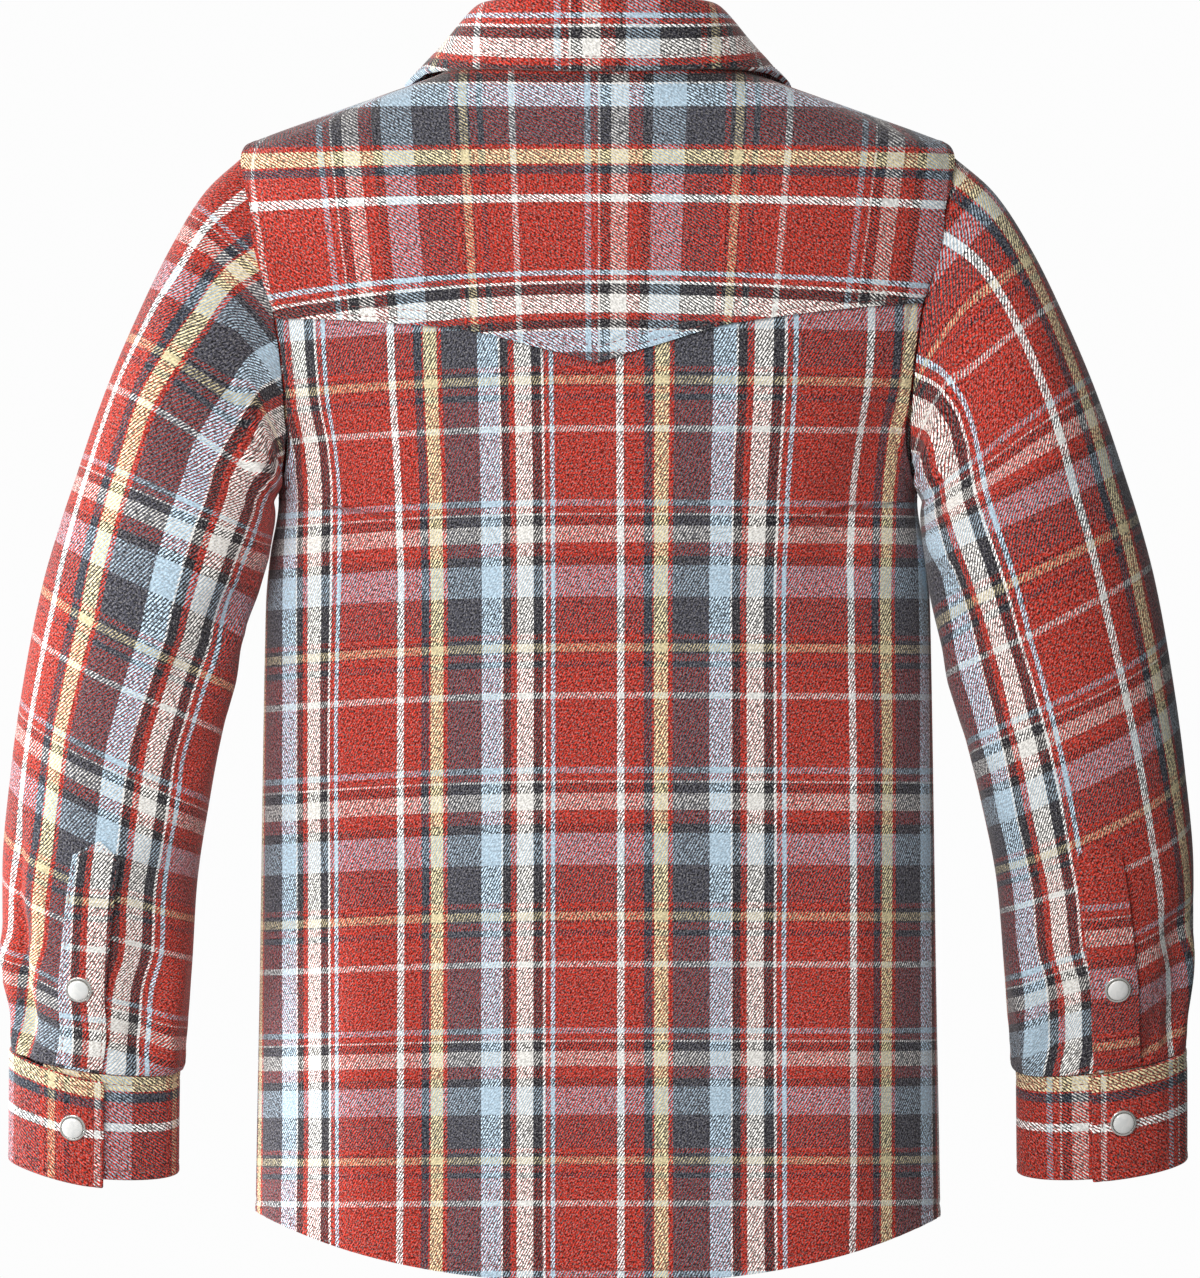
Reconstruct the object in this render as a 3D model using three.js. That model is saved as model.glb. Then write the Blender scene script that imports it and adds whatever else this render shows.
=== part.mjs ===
// Long-sleeved western snap shirt for a child of about six, filled out as if worn.
// Millimetres, +Z up. The back faces -Y and the snapped front faces +Y.
// The origin is in the middle of the neck, level with the lower edge of the collar at the back.
import * as THREE from "three";

// Driving dimensions
const CLOTH = 1.2; // one layer of napped flannel
const DOUBLE = 2.2; // two layers and an interlining, as in the collar and cuffs
const GAP = 0.3; // between pieces that are sewn together
const LAP = 9; // how far a panel runs on under the yoke
const ROUNDNESS = 2.2; // 2 is an ellipse, and more is squarer
const SEAM_ROOM = { back: 0.8, front: 1.6, yoke: 2.3 }; // how far a panel stops short of the sleeve
const YOKE_LIFT = CLOTH + GAP + 0.5;
const BAND_WIDTH = 28; // the snap band at the front edge
const SNAP_SPACING = 66;
const FRONT_SNAPS = 6;
const ARMHOLE = { middleZ: -109, halfHeight: 76, back: 35, front: 41 };
const NECK_HALF_WIDTH = 54;

// The body from the collar down to the hem, as level sections
const BODY = [
  { z: 12, halfWidth: 51, back: 41.5, front: 38 },
  { z: 10, halfWidth: 54, back: 42, front: 39 },
  { z: 5, halfWidth: 61, back: 43.8, front: 41 },
  { z: 0.4, halfWidth: 69.5, back: 45.5, front: 43 },
  { z: -5.7, halfWidth: 85.5, back: 47.5, front: 45 },
  { z: -11.2, halfWidth: 100.5, back: 49.2, front: 46.5 },
  { z: -16.7, halfWidth: 115.5, back: 50.8, front: 48 },
  { z: -22.3, halfWidth: 130.5, back: 52.3, front: 49.2 },
  { z: -27.6, halfWidth: 144.5, back: 53.7, front: 50.2 },
  { z: -32, halfWidth: 155, back: 55, front: 51 },
  { z: -40, halfWidth: 161, back: 56.8, front: 53.2 },
  { z: -50, halfWidth: 164.5, back: 59.2, front: 57 },
  { z: -70, halfWidth: 168, back: 62.2, front: 63 },
  { z: -107, halfWidth: 163.5, back: 65.5, front: 71 },
  { z: -143, halfWidth: 153, back: 66, front: 76 },
  { z: -165, halfWidth: 145, back: 65.3, front: 78.5 },
  { z: -187, halfWidth: 141.6, back: 64.3, front: 80 },
  { z: -212, halfWidth: 145.4, back: 62.8, front: 80.5 },
  { z: -232, halfWidth: 147.2, back: 61.6, front: 80.4 },
  { z: -253, halfWidth: 147.7, back: 60.5, front: 80 },
  { z: -330, halfWidth: 149, back: 58.5, front: 78.5 },
  { z: -400, halfWidth: 150, back: 59, front: 77.5 },
  { z: -470, halfWidth: 151.3, back: 61, front: 77 },
  { z: -535, halfWidth: 152.3, back: 63, front: 77 },
];

// The neck seam: angle from the centre back, in degrees, and height
const NECKLINE = [
  { angle: 0, z: 6 },
  { angle: 30, z: 6.3 },
  { angle: 60, z: 7.8 },
  { angle: 90, z: 10 },
  { angle: 110, z: 2 },
  { angle: 130, z: -14 },
  { angle: 150, z: -36 },
  { angle: 170, z: -54 },
  { angle: 180, z: -57 },
];

// The lower edge of the back yoke, from the centre out: a shallow point with curved sides
const YOKE_EDGE = [
  { x: 0, z: -127 },
  { x: 4, z: -125.6 },
  { x: 12, z: -123 },
  { x: 26, z: -119.4 },
  { x: 44, z: -114.2 },
  { x: 56, z: -111.2 },
  { x: 73, z: -108.8 },
  { x: 90, z: -106.9 },
  { x: 118, z: -104.4 },
  { x: 150, z: -102.5 },
];
const YOKE_TILT = 0.024; // the yoke hangs a little lower on its left

// The hem: how far it rises from the centre to the side seam
const HEM = { backZ: -532, frontZ: -524, backRise: 28, frontRise: 20, tilt: 1.1, sharpness: 2.5 };

// The collar: fold line and outer edge, by the same angle as the neck seam.
// turn is the way round the body at the outer edge, in degrees.
const FOLD = [
  { angle: 0, z: 32.4 },
  { angle: 45, z: 31.8 },
  { angle: 90, z: 29.6 },
  { angle: 110, z: 22 },
  { angle: 130, z: 5 },
  { angle: 150, z: -16 },
  { angle: 170, z: -34 },
  { angle: 180, z: -37 },
];
const COLLAR_EDGE = [
  { angle: 0, turn: 0, z: 0.2 },
  { angle: 30, turn: 25, z: 0 },
  { angle: 60, turn: 54, z: -0.9 },
  { angle: 90, turn: 90, z: -2.8 },
  { angle: 110, turn: 132, z: -15 },
  { angle: 130, turn: 152, z: -38 },
  { angle: 150, turn: 159, z: -63 },
  { angle: 172, turn: 164, z: -87 },
];
const COLLAR_END = 172;

// The right sleeve: outer and inner silhouette, middle and half depth, and forward lean in degrees
const SLEEVE = [
  { along: 0, outerX: 156.5, outerZ: -31.5, innerX: 141, innerZ: -185, midY: -1, depth: 40, lean: 0 },
  { along: 24, outerX: 175.5, outerZ: -49, innerX: 143, innerZ: -186.5, midY: -6, depth: 41, lean: 0 },
  { along: 52, outerX: 192.6, outerZ: -76, innerX: 143.6, innerZ: -189, midY: -11, depth: 42, lean: 0 },
  { along: 80, outerX: 206.5, outerZ: -105, innerX: 143.6, innerZ: -192.5, midY: -15, depth: 42.5, lean: 0 },
  { along: 106, outerX: 218.8, outerZ: -134, innerX: 143.8, innerZ: -197, midY: -17, depth: 42.5, lean: 0 },
  { along: 128, outerX: 227.4, outerZ: -158, innerX: 144.4, innerZ: -203, midY: -20, depth: 42, lean: 0 },
  { along: 146, outerX: 233, outerZ: -175, innerX: 145.4, innerZ: -211, midY: -20, depth: 41.5, lean: 1 },
  { along: 168, outerX: 240, outerZ: -197, innerX: 147.2, innerZ: -226, midY: -19, depth: 41, lean: 2 },
  { along: 192, outerX: 246.7, outerZ: -222, innerX: 151.4, innerZ: -244.5, midY: -16, depth: 40, lean: 4 },
  { along: 228, outerX: 253.8, outerZ: -259, innerX: 160.2, innerZ: -276, midY: -11, depth: 38.5, lean: 7 },
  { along: 274, outerX: 260.5, outerZ: -305, innerX: 170.5, innerZ: -318, midY: -3, depth: 37, lean: 10 },
  { along: 318, outerX: 264.9, outerZ: -351, innerX: 178.5, innerZ: -358, midY: 7, depth: 34.5, lean: 12 },
  { along: 358, outerX: 265.3, outerZ: -390, innerX: 182, innerZ: -397, midY: 17, depth: 31, lean: 14 },
  { along: 384, outerX: 262.6, outerZ: -415, innerX: 184.2, innerZ: -423.5, midY: 23.5, depth: 27, lean: 14 },
  { along: 400, outerX: 260.8, outerZ: -431, innerX: 187.2, innerZ: -440, midY: 27.5, depth: 23.5, lean: 14 },
];
// How much narrower the left sleeve hangs, at its outer and its inner side
const LEFT_SLEEVE = [
  { along: 0, outer: 0, inner: 0 },
  { along: 60, outer: 2.4, inner: 0 },
  { along: 146, outer: 2.4, inner: 1 },
  { along: 168, outer: 2, inner: 3.2 },
  { along: 192, outer: 1.2, inner: 5.8 },
  { along: 228, outer: 0.4, inner: 5.2 },
  { along: 274, outer: 0, inner: 2.6 },
  { along: 318, outer: 0, inner: 0.8 },
  { along: 358, outer: 0.4, inner: 0 },
  { along: 384, outer: 2.2, inner: 0 },
  { along: 400, outer: 0.4, inner: 0 },
];
const CUFF = [
  { along: 0, outerX: 259.6, outerZ: -431, innerX: 189.2, innerZ: -440, midY: 27.5, depth: 22.5, lean: 14 },
  { along: 49, outerX: 260.6, outerZ: -481, innerX: 190, innerZ: -487, midY: 39.5, depth: 21, lean: 14 },
];
const SLEEVE_LENGTH = 400;
const CUFF_HEIGHT = 49;
const CUFF_START = 50; // degrees round the wrist, under the lap
const CUFF_END = 457; // degrees, where the outer end stops
const SLEEVE_PLACKET = { width: 21, length: 107, point: 8, topAngle: 89, cuffAngle: 78, hemRoom: 1.6 };

const SNAP = { ring: 6, pearl: 4.9, height: 2.4, seat: 0.9, sides: 12 };

// Soft folds. Each is a line from one end to the other, with its breadth and how far it stands out.
// On the body x and z are in millimetres. On a sleeve along is too, and round is in degrees.
const BACK_FOLDS = [
  { x1: -112, z1: -250, x2: -104, z2: -515, breadth: 15, height: 3.2 },
  { x1: -80, z1: -330, x2: -72, z2: -520, breadth: 14, height: -2.2 },
  { x1: 118, z1: -270, x2: 108, z2: -515, breadth: 15, height: 2.8 },
  { x1: 74, z1: -360, x2: 66, z2: -525, breadth: 16, height: -2 },
  { x1: -128, z1: -150, x2: -96, z2: -235, breadth: 13, height: -3 },
  { x1: 130, z1: -140, x2: 100, z2: -225, breadth: 13, height: -3 },
];
const FRONT_FOLDS = [
  { x1: -118, z1: -190, x2: -84, z2: -500, breadth: 17, height: 3.4 },
  { x1: 120, z1: -185, x2: 92, z2: -505, breadth: 17, height: 3.2 },
  { x1: -64, z1: -280, x2: -56, z2: -500, breadth: 16, height: -2.4 },
  { x1: 66, z1: -300, x2: 54, z2: -505, breadth: 16, height: -2.2 },
  { x1: -128, z1: -130, x2: -78, z2: -200, breadth: 13, height: -3 },
  { x1: 128, z1: -135, x2: 76, z2: -195, breadth: 13, height: -2.8 },
];
const SLEEVE_FOLDS = [
  { along1: 20, round1: 150, along2: 75, round2: 128, breadth: 13, height: 5 },
  { along1: 40, round1: 108, along2: 120, round2: 96, breadth: 14, height: -3 },
  { along1: 150, round1: 160, along2: 230, round2: 118, breadth: 13, height: -3.2 },
  { along1: 178, round1: 210, along2: 236, round2: 262, breadth: 14, height: -3.4 },
  { along1: 205, round1: 172, along2: 290, round2: 132, breadth: 14, height: 2.6 },
  { along1: 300, round1: 122, along2: 396, round2: 118, breadth: 10, height: -2.6 },
  { along1: 350, round1: 150, along2: 400, round2: 138, breadth: 9, height: 3 },
  { along1: 330, round1: 38, along2: 400, round2: 32, breadth: 9, height: -3.2 },
  { along1: 346, round1: 12, along2: 400, round2: 16, breadth: 9, height: 2.4 },
  { along1: 340, round1: 235, along2: 400, round2: 238, breadth: 10, height: -2.6 },
  { along1: 345, round1: 300, along2: 400, round2: 298, breadth: 10, height: 2.6 },
];

const RADIAN = Math.PI / 180;
const clamp = (value) => Math.min(1, Math.max(0, value));
const ease = (value) => clamp(value) ** 2 * (3 - 2 * clamp(value));
const signedPower = (value, power) => Math.sign(value) * Math.abs(value) ** power;
const lerp = (a, b, t) => a + (b - a) * t;

// A smooth curve through one column of a table, which never overshoots its rows
function follow(rows, key, column) {
  const sorted = [...rows].sort((a, b) => a[key] - b[key]);
  const places = sorted.map((row) => row[key]);
  const values = sorted.map((row) => row[column]);
  const steps = places.slice(1).map((place, i) => place - places[i]);
  const rises = steps.map((step, i) => (values[i + 1] - values[i]) / step);
  const slopes = values.map((_, i) => {
    if (i === 0) return rises[0];
    if (i === rises.length) return rises[i - 1];
    if (rises[i - 1] * rises[i] <= 0) return 0;
    const before = 2 * steps[i] + steps[i - 1];
    const after = steps[i] + 2 * steps[i - 1];
    return (before + after) / (before / rises[i - 1] + after / rises[i]);
  });
  return (place) => {
    let i = 0;
    while (i < steps.length - 1 && place > places[i + 1]) i += 1;
    const t = (place - places[i]) / steps[i];
    const keep = (1 + 2 * t) * (1 - t) ** 2;
    const bend = t * (1 - t) ** 2 * slopes[i] - t ** 2 * (1 - t) * slopes[i + 1];
    return values[i] * keep + values[i + 1] * (1 - keep) + steps[i] * bend;
  };
}

// How far folds lift the cloth at a place
function foldHeight(folds, first, second, names, secondScale = 1) {
  return folds.reduce((sum, fold) => {
    const dx = fold[names[2]] - fold[names[0]];
    const dy = (fold[names[3]] - fold[names[1]]) * secondScale;
    const px = first - fold[names[0]];
    const py = (second - fold[names[1]]) * secondScale;
    const length = Math.hypot(dx, dy);
    const along = (px * dx + py * dy) / length ** 2;
    const away = Math.abs(px * dy - py * dx) / length / fold.breadth;
    const beyond = (Math.max(0, -along, along - 1) * length) / (1.6 * fold.breadth);
    const fade = ease(0.35 + 4 * Math.min(along, 1 - along)) * Math.exp(-(beyond ** 2));
    return sum + fold.height * Math.exp(-(away ** 2)) * fade;
  }, 0);
}

const bodyWidth = follow(BODY, "z", "halfWidth");
const bodyBack = follow(BODY, "z", "back");
const bodyFront = follow(BODY, "z", "front");
const neckHeight = follow(NECKLINE, "angle", "z");
const foldLine = follow(FOLD, "angle", "z");
const yokeEdge = follow(YOKE_EDGE, "x", "z");
const collarEdgeTurn = follow(COLLAR_EDGE, "angle", "turn");
const collarEdgeZ = follow(COLLAR_EDGE, "angle", "z");

// A point of the body. round is the way round it in radians.
// 0 is the centre back and half a turn the centre front.
function bodyPoint(round, z) {
  const power = 2 / ROUNDNESS;
  const back = Math.cos(round) > 0;
  const x = bodyWidth(z) * signedPower(Math.sin(round), power);
  const y = -(back ? bodyBack(z) : bodyFront(z)) * signedPower(Math.cos(round), power);
  return new THREE.Vector3(x, y, z);
}

// The way round at a given x and height
function roundAt(x, z, front) {
  const turn = Math.asin(clamp(Math.abs(x) / bodyWidth(z)) ** (ROUNDNESS / 2));
  return Math.sign(x || 1) * (front ? Math.PI - turn : turn);
}

// A surface's point and outward normal. surface gives its points, and bulge how far each is lifted.
function place(surface, bulge, a, b, stepA, stepB, outward) {
  const bare = (p, q) => {
    const point = surface(p, q);
    const alongA = surface(p + stepA, q).sub(surface(p - stepA, q));
    const alongB = surface(p, q + stepB).sub(surface(p, q - stepB));
    const normal = alongA.cross(alongB).normalize().multiplyScalar(outward);
    return point.addScaledVector(normal, bulge(p, q));
  };
  const point = bare(a, b);
  const alongA = bare(a + stepA, b).sub(bare(a - stepA, b));
  const alongB = bare(a, b + stepB).sub(bare(a, b - stepB));
  return { point, normal: alongA.cross(alongB).normalize().multiplyScalar(outward) };
}

const BODY_NAMES = ["x1", "z1", "x2", "z2"];
const SLEEVE_NAMES = ["along1", "round1", "along2", "round2"];

function bodyPlace(round, z) {
  const bulge = (r, height) => {
    const folds = Math.cos(r) > 0 ? BACK_FOLDS : FRONT_FOLDS;
    const sideFade = ease(Math.abs(Math.cos(r)) * 4);
    const x = bodyPoint(r, height).x;
    return foldHeight(folds, x, height, BODY_NAMES) * sideFade;
  };
  return place(bodyPoint, bulge, round, z, 2e-3, 0.2, 1);
}

// The armhole on one side: angle 0 is the shoulder, 90 the back, 180 under the arm and 270 the front
function armhole(degrees, wider = 0) {
  const angle = degrees * RADIAN;
  const z = ARMHOLE.middleZ + (ARMHOLE.halfHeight + wider) * Math.cos(angle);
  const behind = Math.sin(angle) >= 0;
  const depth = (behind ? ARMHOLE.back : ARMHOLE.front) + wider;
  const share = clamp((Math.abs(Math.sin(angle)) * depth) / (behind ? bodyBack(z) : bodyFront(z)));
  const turn = Math.acos(share ** (ROUNDNESS / 2));
  return { round: behind ? turn : Math.PI - turn, z };
}

// A cloth wall over a grid of places, closed all round. A ring joins its last column to its first.
function wall({ columns, rows, at, thickness, lift = () => 0, ring = false }) {
  const across = ring ? columns : columns + 1;
  const grid = [];
  for (let j = 0; j <= rows; j += 1)
    for (let i = 0; i < across; i += 1) {
      const found = at(i / columns, j / rows);
      found.point.addScaledVector(found.normal, lift(i / columns, j / rows));
      grid.push(found);
    }
  const positions = [];
  for (const side of [0.5, -0.5])
    for (const { point, normal } of grid)
      positions.push(...point.clone().addScaledVector(normal, side * thickness).toArray());
  const outer = (i, j) => j * across + (i % across);
  const inner = (i, j) => grid.length + outer(i, j);
  const triangles = [];
  const quad = (a, b, c, d) => triangles.push([a, b, c], [a, c, d]);
  for (let j = 0; j < rows; j += 1)
    for (let i = 0; i < columns; i += 1) {
      quad(outer(i, j), outer(i + 1, j), outer(i + 1, j + 1), outer(i, j + 1));
      quad(inner(i, j), inner(i, j + 1), inner(i + 1, j + 1), inner(i + 1, j));
    }
  for (let i = 0; i < columns; i += 1) {
    quad(outer(i, 0), inner(i, 0), inner(i + 1, 0), outer(i + 1, 0));
    quad(outer(i + 1, rows), inner(i + 1, rows), inner(i, rows), outer(i, rows));
  }
  for (let j = 0; j < rows && !ring; j += 1) {
    quad(outer(0, j + 1), inner(0, j + 1), inner(0, j), outer(0, j));
    quad(outer(columns, j), inner(columns, j), inner(columns, j + 1), outer(columns, j + 1));
  }
  const middle = outer(Math.floor(columns / 2), Math.floor((rows - 1) / 2));
  const right = grid[middle + 1].point.clone().sub(grid[middle].point);
  const rise = grid[middle + across].point.clone().sub(grid[middle].point);
  const facesOut = right.cross(rise).dot(grid[middle].normal) > 0;
  const geometry = new THREE.BufferGeometry();
  geometry.setAttribute("position", new THREE.Float32BufferAttribute(positions, 3));
  geometry.setIndex(triangles.flatMap(([a, b, c]) => (facesOut ? [a, b, c] : [a, c, b])));
  return geometry;
}

// A patch of the body between four edges, each a function of 0 to 1 that gives a way round and a height
function patch(bottom, top, left, right) {
  const mix = (u, v, name) =>
    lerp(bottom(u)[name], top(u)[name], v) +
    lerp(left(v)[name], right(v)[name], u) -
    lerp(lerp(bottom(0)[name], bottom(1)[name], u), lerp(top(0)[name], top(1)[name], u), v);
  return (u, v) => bodyPlace(mix(u, v, "round"), mix(u, v, "z"));
}

const hemHeight = (round) => {
  const share = clamp(Math.abs(Math.sin(round))) ** ((2 / ROUNDNESS) * HEM.sharpness);
  const back = Math.cos(round) > 0;
  const lowest = back ? HEM.backZ : HEM.frontZ;
  const rise = back ? HEM.backRise : HEM.frontRise;
  return lowest + rise * share - HEM.tilt * Math.sin(round);
};
const yokeHeight = (x) => yokeEdge(Math.abs(x)) + YOKE_TILT * x;

// The side seam is a hair's breadth from the widest line of the body
const sideTurn = (z, front) => {
  const depth = front ? bodyFront(z) : bodyBack(z);
  const turn = Math.acos((GAP / 2 / depth) ** (ROUNDNESS / 2));
  return front ? Math.PI - turn : turn;
};

const NECK_POWER = 0.95; // how square the neck seam is in plan
const neckX = (degrees) => NECK_HALF_WIDTH * signedPower(Math.sin(degrees * RADIAN), NECK_POWER);
const neckPlace = (degrees) => {
  const x = neckX(degrees);
  const z = neckHeight(Math.min(Math.abs(degrees), 180));
  return { round: roundAt(x, z, Math.abs(degrees) > 90), z, x };
};
const atX = (x, z, front) => ({ round: roundAt(x, z, front), z });

// Up the side seam and on round the armhole, to a given angle of it
const SIDE_SHARE = 0.74; // of the panel's rows lie below the armhole
const UNDERARM_STEP = 2.2; // degrees from the underarm point to the armhole's first point
function sideEdge(side, front, endAngle) {
  const start = hemHeight((side * Math.PI) / 2);
  const underarm = ARMHOLE.middleZ - ARMHOLE.halfHeight - GAP;
  return (t) => {
    if (t <= SIDE_SHARE) {
      const z = lerp(start, underarm, t / SIDE_SHARE);
      return { round: side * sideTurn(z, front), z };
    }
    const from = 180 + (front ? UNDERARM_STEP : -UNDERARM_STEP);
    const clear = front ? SEAM_ROOM.front : SEAM_ROOM.back;
    const hole = armhole(lerp(from, endAngle, (t - SIDE_SHARE) / (1 - SIDE_SHARE)), clear);
    return { round: side * hole.round, z: hole.z };
  };
}

// The armhole angle, on the back or the front, at which a level line meets it
function armholeAngleAt(z, front) {
  const angle = Math.acos((z - ARMHOLE.middleZ) / (ARMHOLE.halfHeight + GAP / 2)) / RADIAN;
  return front ? 360 - angle : angle;
}

// The back runs up under the yoke, and its top follows the yoke's edge.
const ARMHOLE_X = 145; // about where the yoke's edge meets the armholes
const yokeAngle = (side, lap) => armholeAngleAt(yokeHeight(side * ARMHOLE_X) + lap, false);
function backPanel() {
  const left = sideEdge(-1, false, yokeAngle(-1, LAP));
  const right = sideEdge(1, false, yokeAngle(1, LAP));
  const corners = [left(1), right(1)].map(({ round, z }) => bodyPoint(round, z));
  const top = (u) => {
    const x = lerp(corners[0].x, corners[1].x, u);
    const straight = lerp(corners[0].z, corners[1].z, u);
    const dip = yokeHeight(x) - lerp(yokeHeight(corners[0].x), yokeHeight(corners[1].x), u);
    return atX(x, straight + dip, false);
  };
  const bottom = (u) => {
    const round = lerp(left(0).round, right(0).round, u);
    return { round, z: hemHeight(round) };
  };
  return wall({ columns: 24, rows: 22, at: patch(bottom, top, left, right), thickness: CLOTH });
}

// The front shoulder seam: where it meets the armhole and the neck, and what the fronts run on under the yoke
const SHOULDER_SEAM = { armZ: -44, neckAngle: 112, armLap: 1.5, neckLap: 5 };

// The yoke stands a little prouder in front of the shoulder, where the fronts run on under it.
const YOKE_FRONT = { rise: 1.2, from: 0.38, over: 0.08 };
const yokeRise = (u) => {
  const past = (Math.abs(u - 0.5) - YOKE_FRONT.from) / YOKE_FRONT.over;
  return YOKE_LIFT + YOKE_FRONT.rise * ease(past);
};
function yoke() {
  const front = armholeAngleAt(SHOULDER_SEAM.armZ, true) - 360;
  const backShare = 0.7; // of half the outer edge lies across the back, and the rest round the armhole
  const outer = (u) => {
    const side = u < 0.5 ? -1 : 1;
    const t = Math.abs(u - 0.5) * 2;
    const corner = yokeAngle(side, 0);
    if (t > backShare) {
      const hole = armhole(lerp(corner, front, (t - backShare) / (1 - backShare)), SEAM_ROOM.yoke);
      return { round: side * hole.round, z: hole.z };
    }
    const last = armhole(corner, SEAM_ROOM.yoke);
    const x = (bodyPoint(last.round, last.z).x * side * t) / backShare;
    return atX(x, yokeHeight(x), false);
  };
  const inner = (u) => neckPlace(lerp(-SHOULDER_SEAM.neckAngle, SHOULDER_SEAM.neckAngle, u));
  const seam = (side) => (v) => {
    const from = inner(side < 0 ? 0 : 1);
    const to = outer(side < 0 ? 0 : 1);
    return { round: lerp(from.round, to.round, v), z: lerp(from.z, to.z, v) };
  };
  const at = patch(inner, outer, seam(-1), seam(1));
  return wall({ columns: 40, rows: 10, at, thickness: CLOTH, lift: yokeRise });
}

// The fronts lap at the middle: the wearer's left, at -X, lies over the right.
const LAP_RISE = { start: 22, over: 45 }; // where the left front starts to rise, and over what distance
const frontLift = (side) => (x) =>
  side < 0 ? 2 * (CLOTH + GAP) * ease(1 - (Math.abs(x) - LAP_RISE.start) / LAP_RISE.over) : 0;

function frontPanel(side) {
  const lapX = BAND_WIDTH / 2;
  const low = 0.2; // the front stops this far below the neck seam
  const neckStart = SHOULDER_SEAM.neckAngle - SHOULDER_SEAM.neckLap;
  const outerEdge = sideEdge(side, true, armholeAngleAt(SHOULDER_SEAM.armZ + SHOULDER_SEAM.armLap, true));
  const pastMiddle = (x, z) => Math.asin((Math.abs(x) / bodyWidth(z)) ** (ROUNDNESS / 2));
  const middleEdge = (v) => {
    const z = lerp(hemHeight(Math.PI), neckHeight(180) - low, v);
    return { round: side * (Math.PI + pastMiddle(lapX, z)), z };
  };
  const neckShare = 0.5; // of the top edge lies at the neck, and the rest along the shoulder
  const top = (u) => {
    if (u < neckShare) {
      const from = outerEdge(1);
      const to = neckPlace(side * neckStart);
      const t = u / neckShare;
      return { round: lerp(from.round, to.round, t), z: lerp(from.z, to.z, t) };
    }
    const end = 180 + Math.asin((lapX / NECK_HALF_WIDTH) ** (1 / NECK_POWER)) / RADIAN;
    const degrees = lerp(neckStart, end, (u - neckShare) / (1 - neckShare));
    const z = neckHeight(Math.min(degrees, 180)) - low;
    const x = neckX(degrees);
    return { round: side * (Math.PI - pastMiddle(x, z) * Math.sign(x)), z };
  };
  const bottom = (u) => {
    const round = lerp(outerEdge(0).round, middleEdge(0).round, u);
    return { round, z: hemHeight(round) };
  };
  const at = patch(bottom, top, outerEdge, middleEdge);
  const raise = frontLift(side);
  const lift = (u, v) => raise(at(u, v).point.x);
  return wall({ columns: 13, rows: 22, at, thickness: CLOTH, lift });
}

// The snap band on each front edge, which stops a little short of the hem and the neck seam
const BAND_SHORT = { hem: 0.3, neck: 1.2 };
function band(side) {
  const lift = frontLift(side)(0) + (CLOTH + GAP);
  const at = (u, v) => {
    const x = lerp(-BAND_WIDTH / 2, BAND_WIDTH / 2, u);
    const z = lerp(hemHeight(Math.PI) + BAND_SHORT.hem, neckHeight(180) - BAND_SHORT.neck, v);
    return bodyPlace(roundAt(x, z, true), z);
  };
  return wall({ columns: 2, rows: 22, at, thickness: CLOTH, lift: () => lift });
}

const sleeveColumn = Object.fromEntries(
  ["outerX", "outerZ", "innerX", "innerZ", "midY", "depth", "lean"].map((name) => [
    name,
    { sleeve: follow(SLEEVE, "along", name), cuff: follow(CUFF, "along", name) },
  ]),
);

const leftOuter = follow(LEFT_SLEEVE, "along", "outer");
const leftInner = follow(LEFT_SLEEVE, "along", "inner");

// A point of a sleeve or cuff section: 0 degrees is its outer side, 90 its back and 180 its inner side
function section(piece, side, degrees, along) {
  const value = (name) => sleeveColumn[name][piece](along);
  const slimmer = piece === "sleeve" && side < 0;
  const outerX = value("outerX") - (slimmer ? leftOuter(along) : 0);
  const innerX = value("innerX") + (slimmer ? leftInner(along) : 0);
  const outer = (1 + Math.cos(degrees * RADIAN)) / 2;
  const back = Math.sin(degrees * RADIAN) * value("depth");
  const lean = value("lean") * RADIAN;
  return new THREE.Vector3(
    lerp(innerX, outerX, outer),
    value("midY") - back * Math.cos(lean),
    lerp(value("innerZ"), value("outerZ"), outer) - back * Math.sin(lean),
  );
}

const wrap = (degrees) => ((degrees % 360) + 360) % 360;

// The sleeve starts on the armhole's own line and reaches its own section further down.
const CAP_REACH = 105;
const UNDERARM_ROOM = 2.2; // how much further out the sleeve starts under the arm
function sleevePoint(side, degrees, along) {
  const point = section("sleeve", side, degrees, along);
  const fade = clamp(1 - along / CAP_REACH) ** 2;
  if (fade === 0) return point;
  const hole = armhole(wrap(degrees));
  const seam = bodyPoint(hole.round, hole.z);
  seam.x += GAP + UNDERARM_ROOM * ((1 - Math.cos(degrees * RADIAN)) / 2) ** 3;
  return point.addScaledVector(seam.sub(section("sleeve", side, degrees, 0)), fade);
}

const GIRTH = 0.72; // millimetres of cloth to a degree round the sleeve
// The folds rise over some distance from the armhole, and fall again to the cuff.
const FOLD_FADE = { rise: 30, fall: 22, past: 8 };
function sleevePlace(side, degrees, along) {
  const bulge = (d, a) => {
    const ends = ease(a / FOLD_FADE.rise) * ease((SLEEVE_LENGTH + FOLD_FADE.past - a) / FOLD_FADE.fall);
    return foldHeight(SLEEVE_FOLDS, a, wrap(d), SLEEVE_NAMES, GIRTH) * ends;
  };
  return place((d, a) => sleevePoint(side, d, a), bulge, degrees, along, 0.5, 0.5, 1);
}

const mirror = (side, found) => {
  found.point.x *= side;
  found.normal.x *= side;
  return found;
};

function sleeve(side) {
  const at = (u, v) => mirror(side, sleevePlace(side, 360 * u, lerp(0, SLEEVE_LENGTH - GAP, v)));
  return wall({ columns: 24, rows: 22, at, thickness: CLOTH, ring: true });
}

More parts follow.
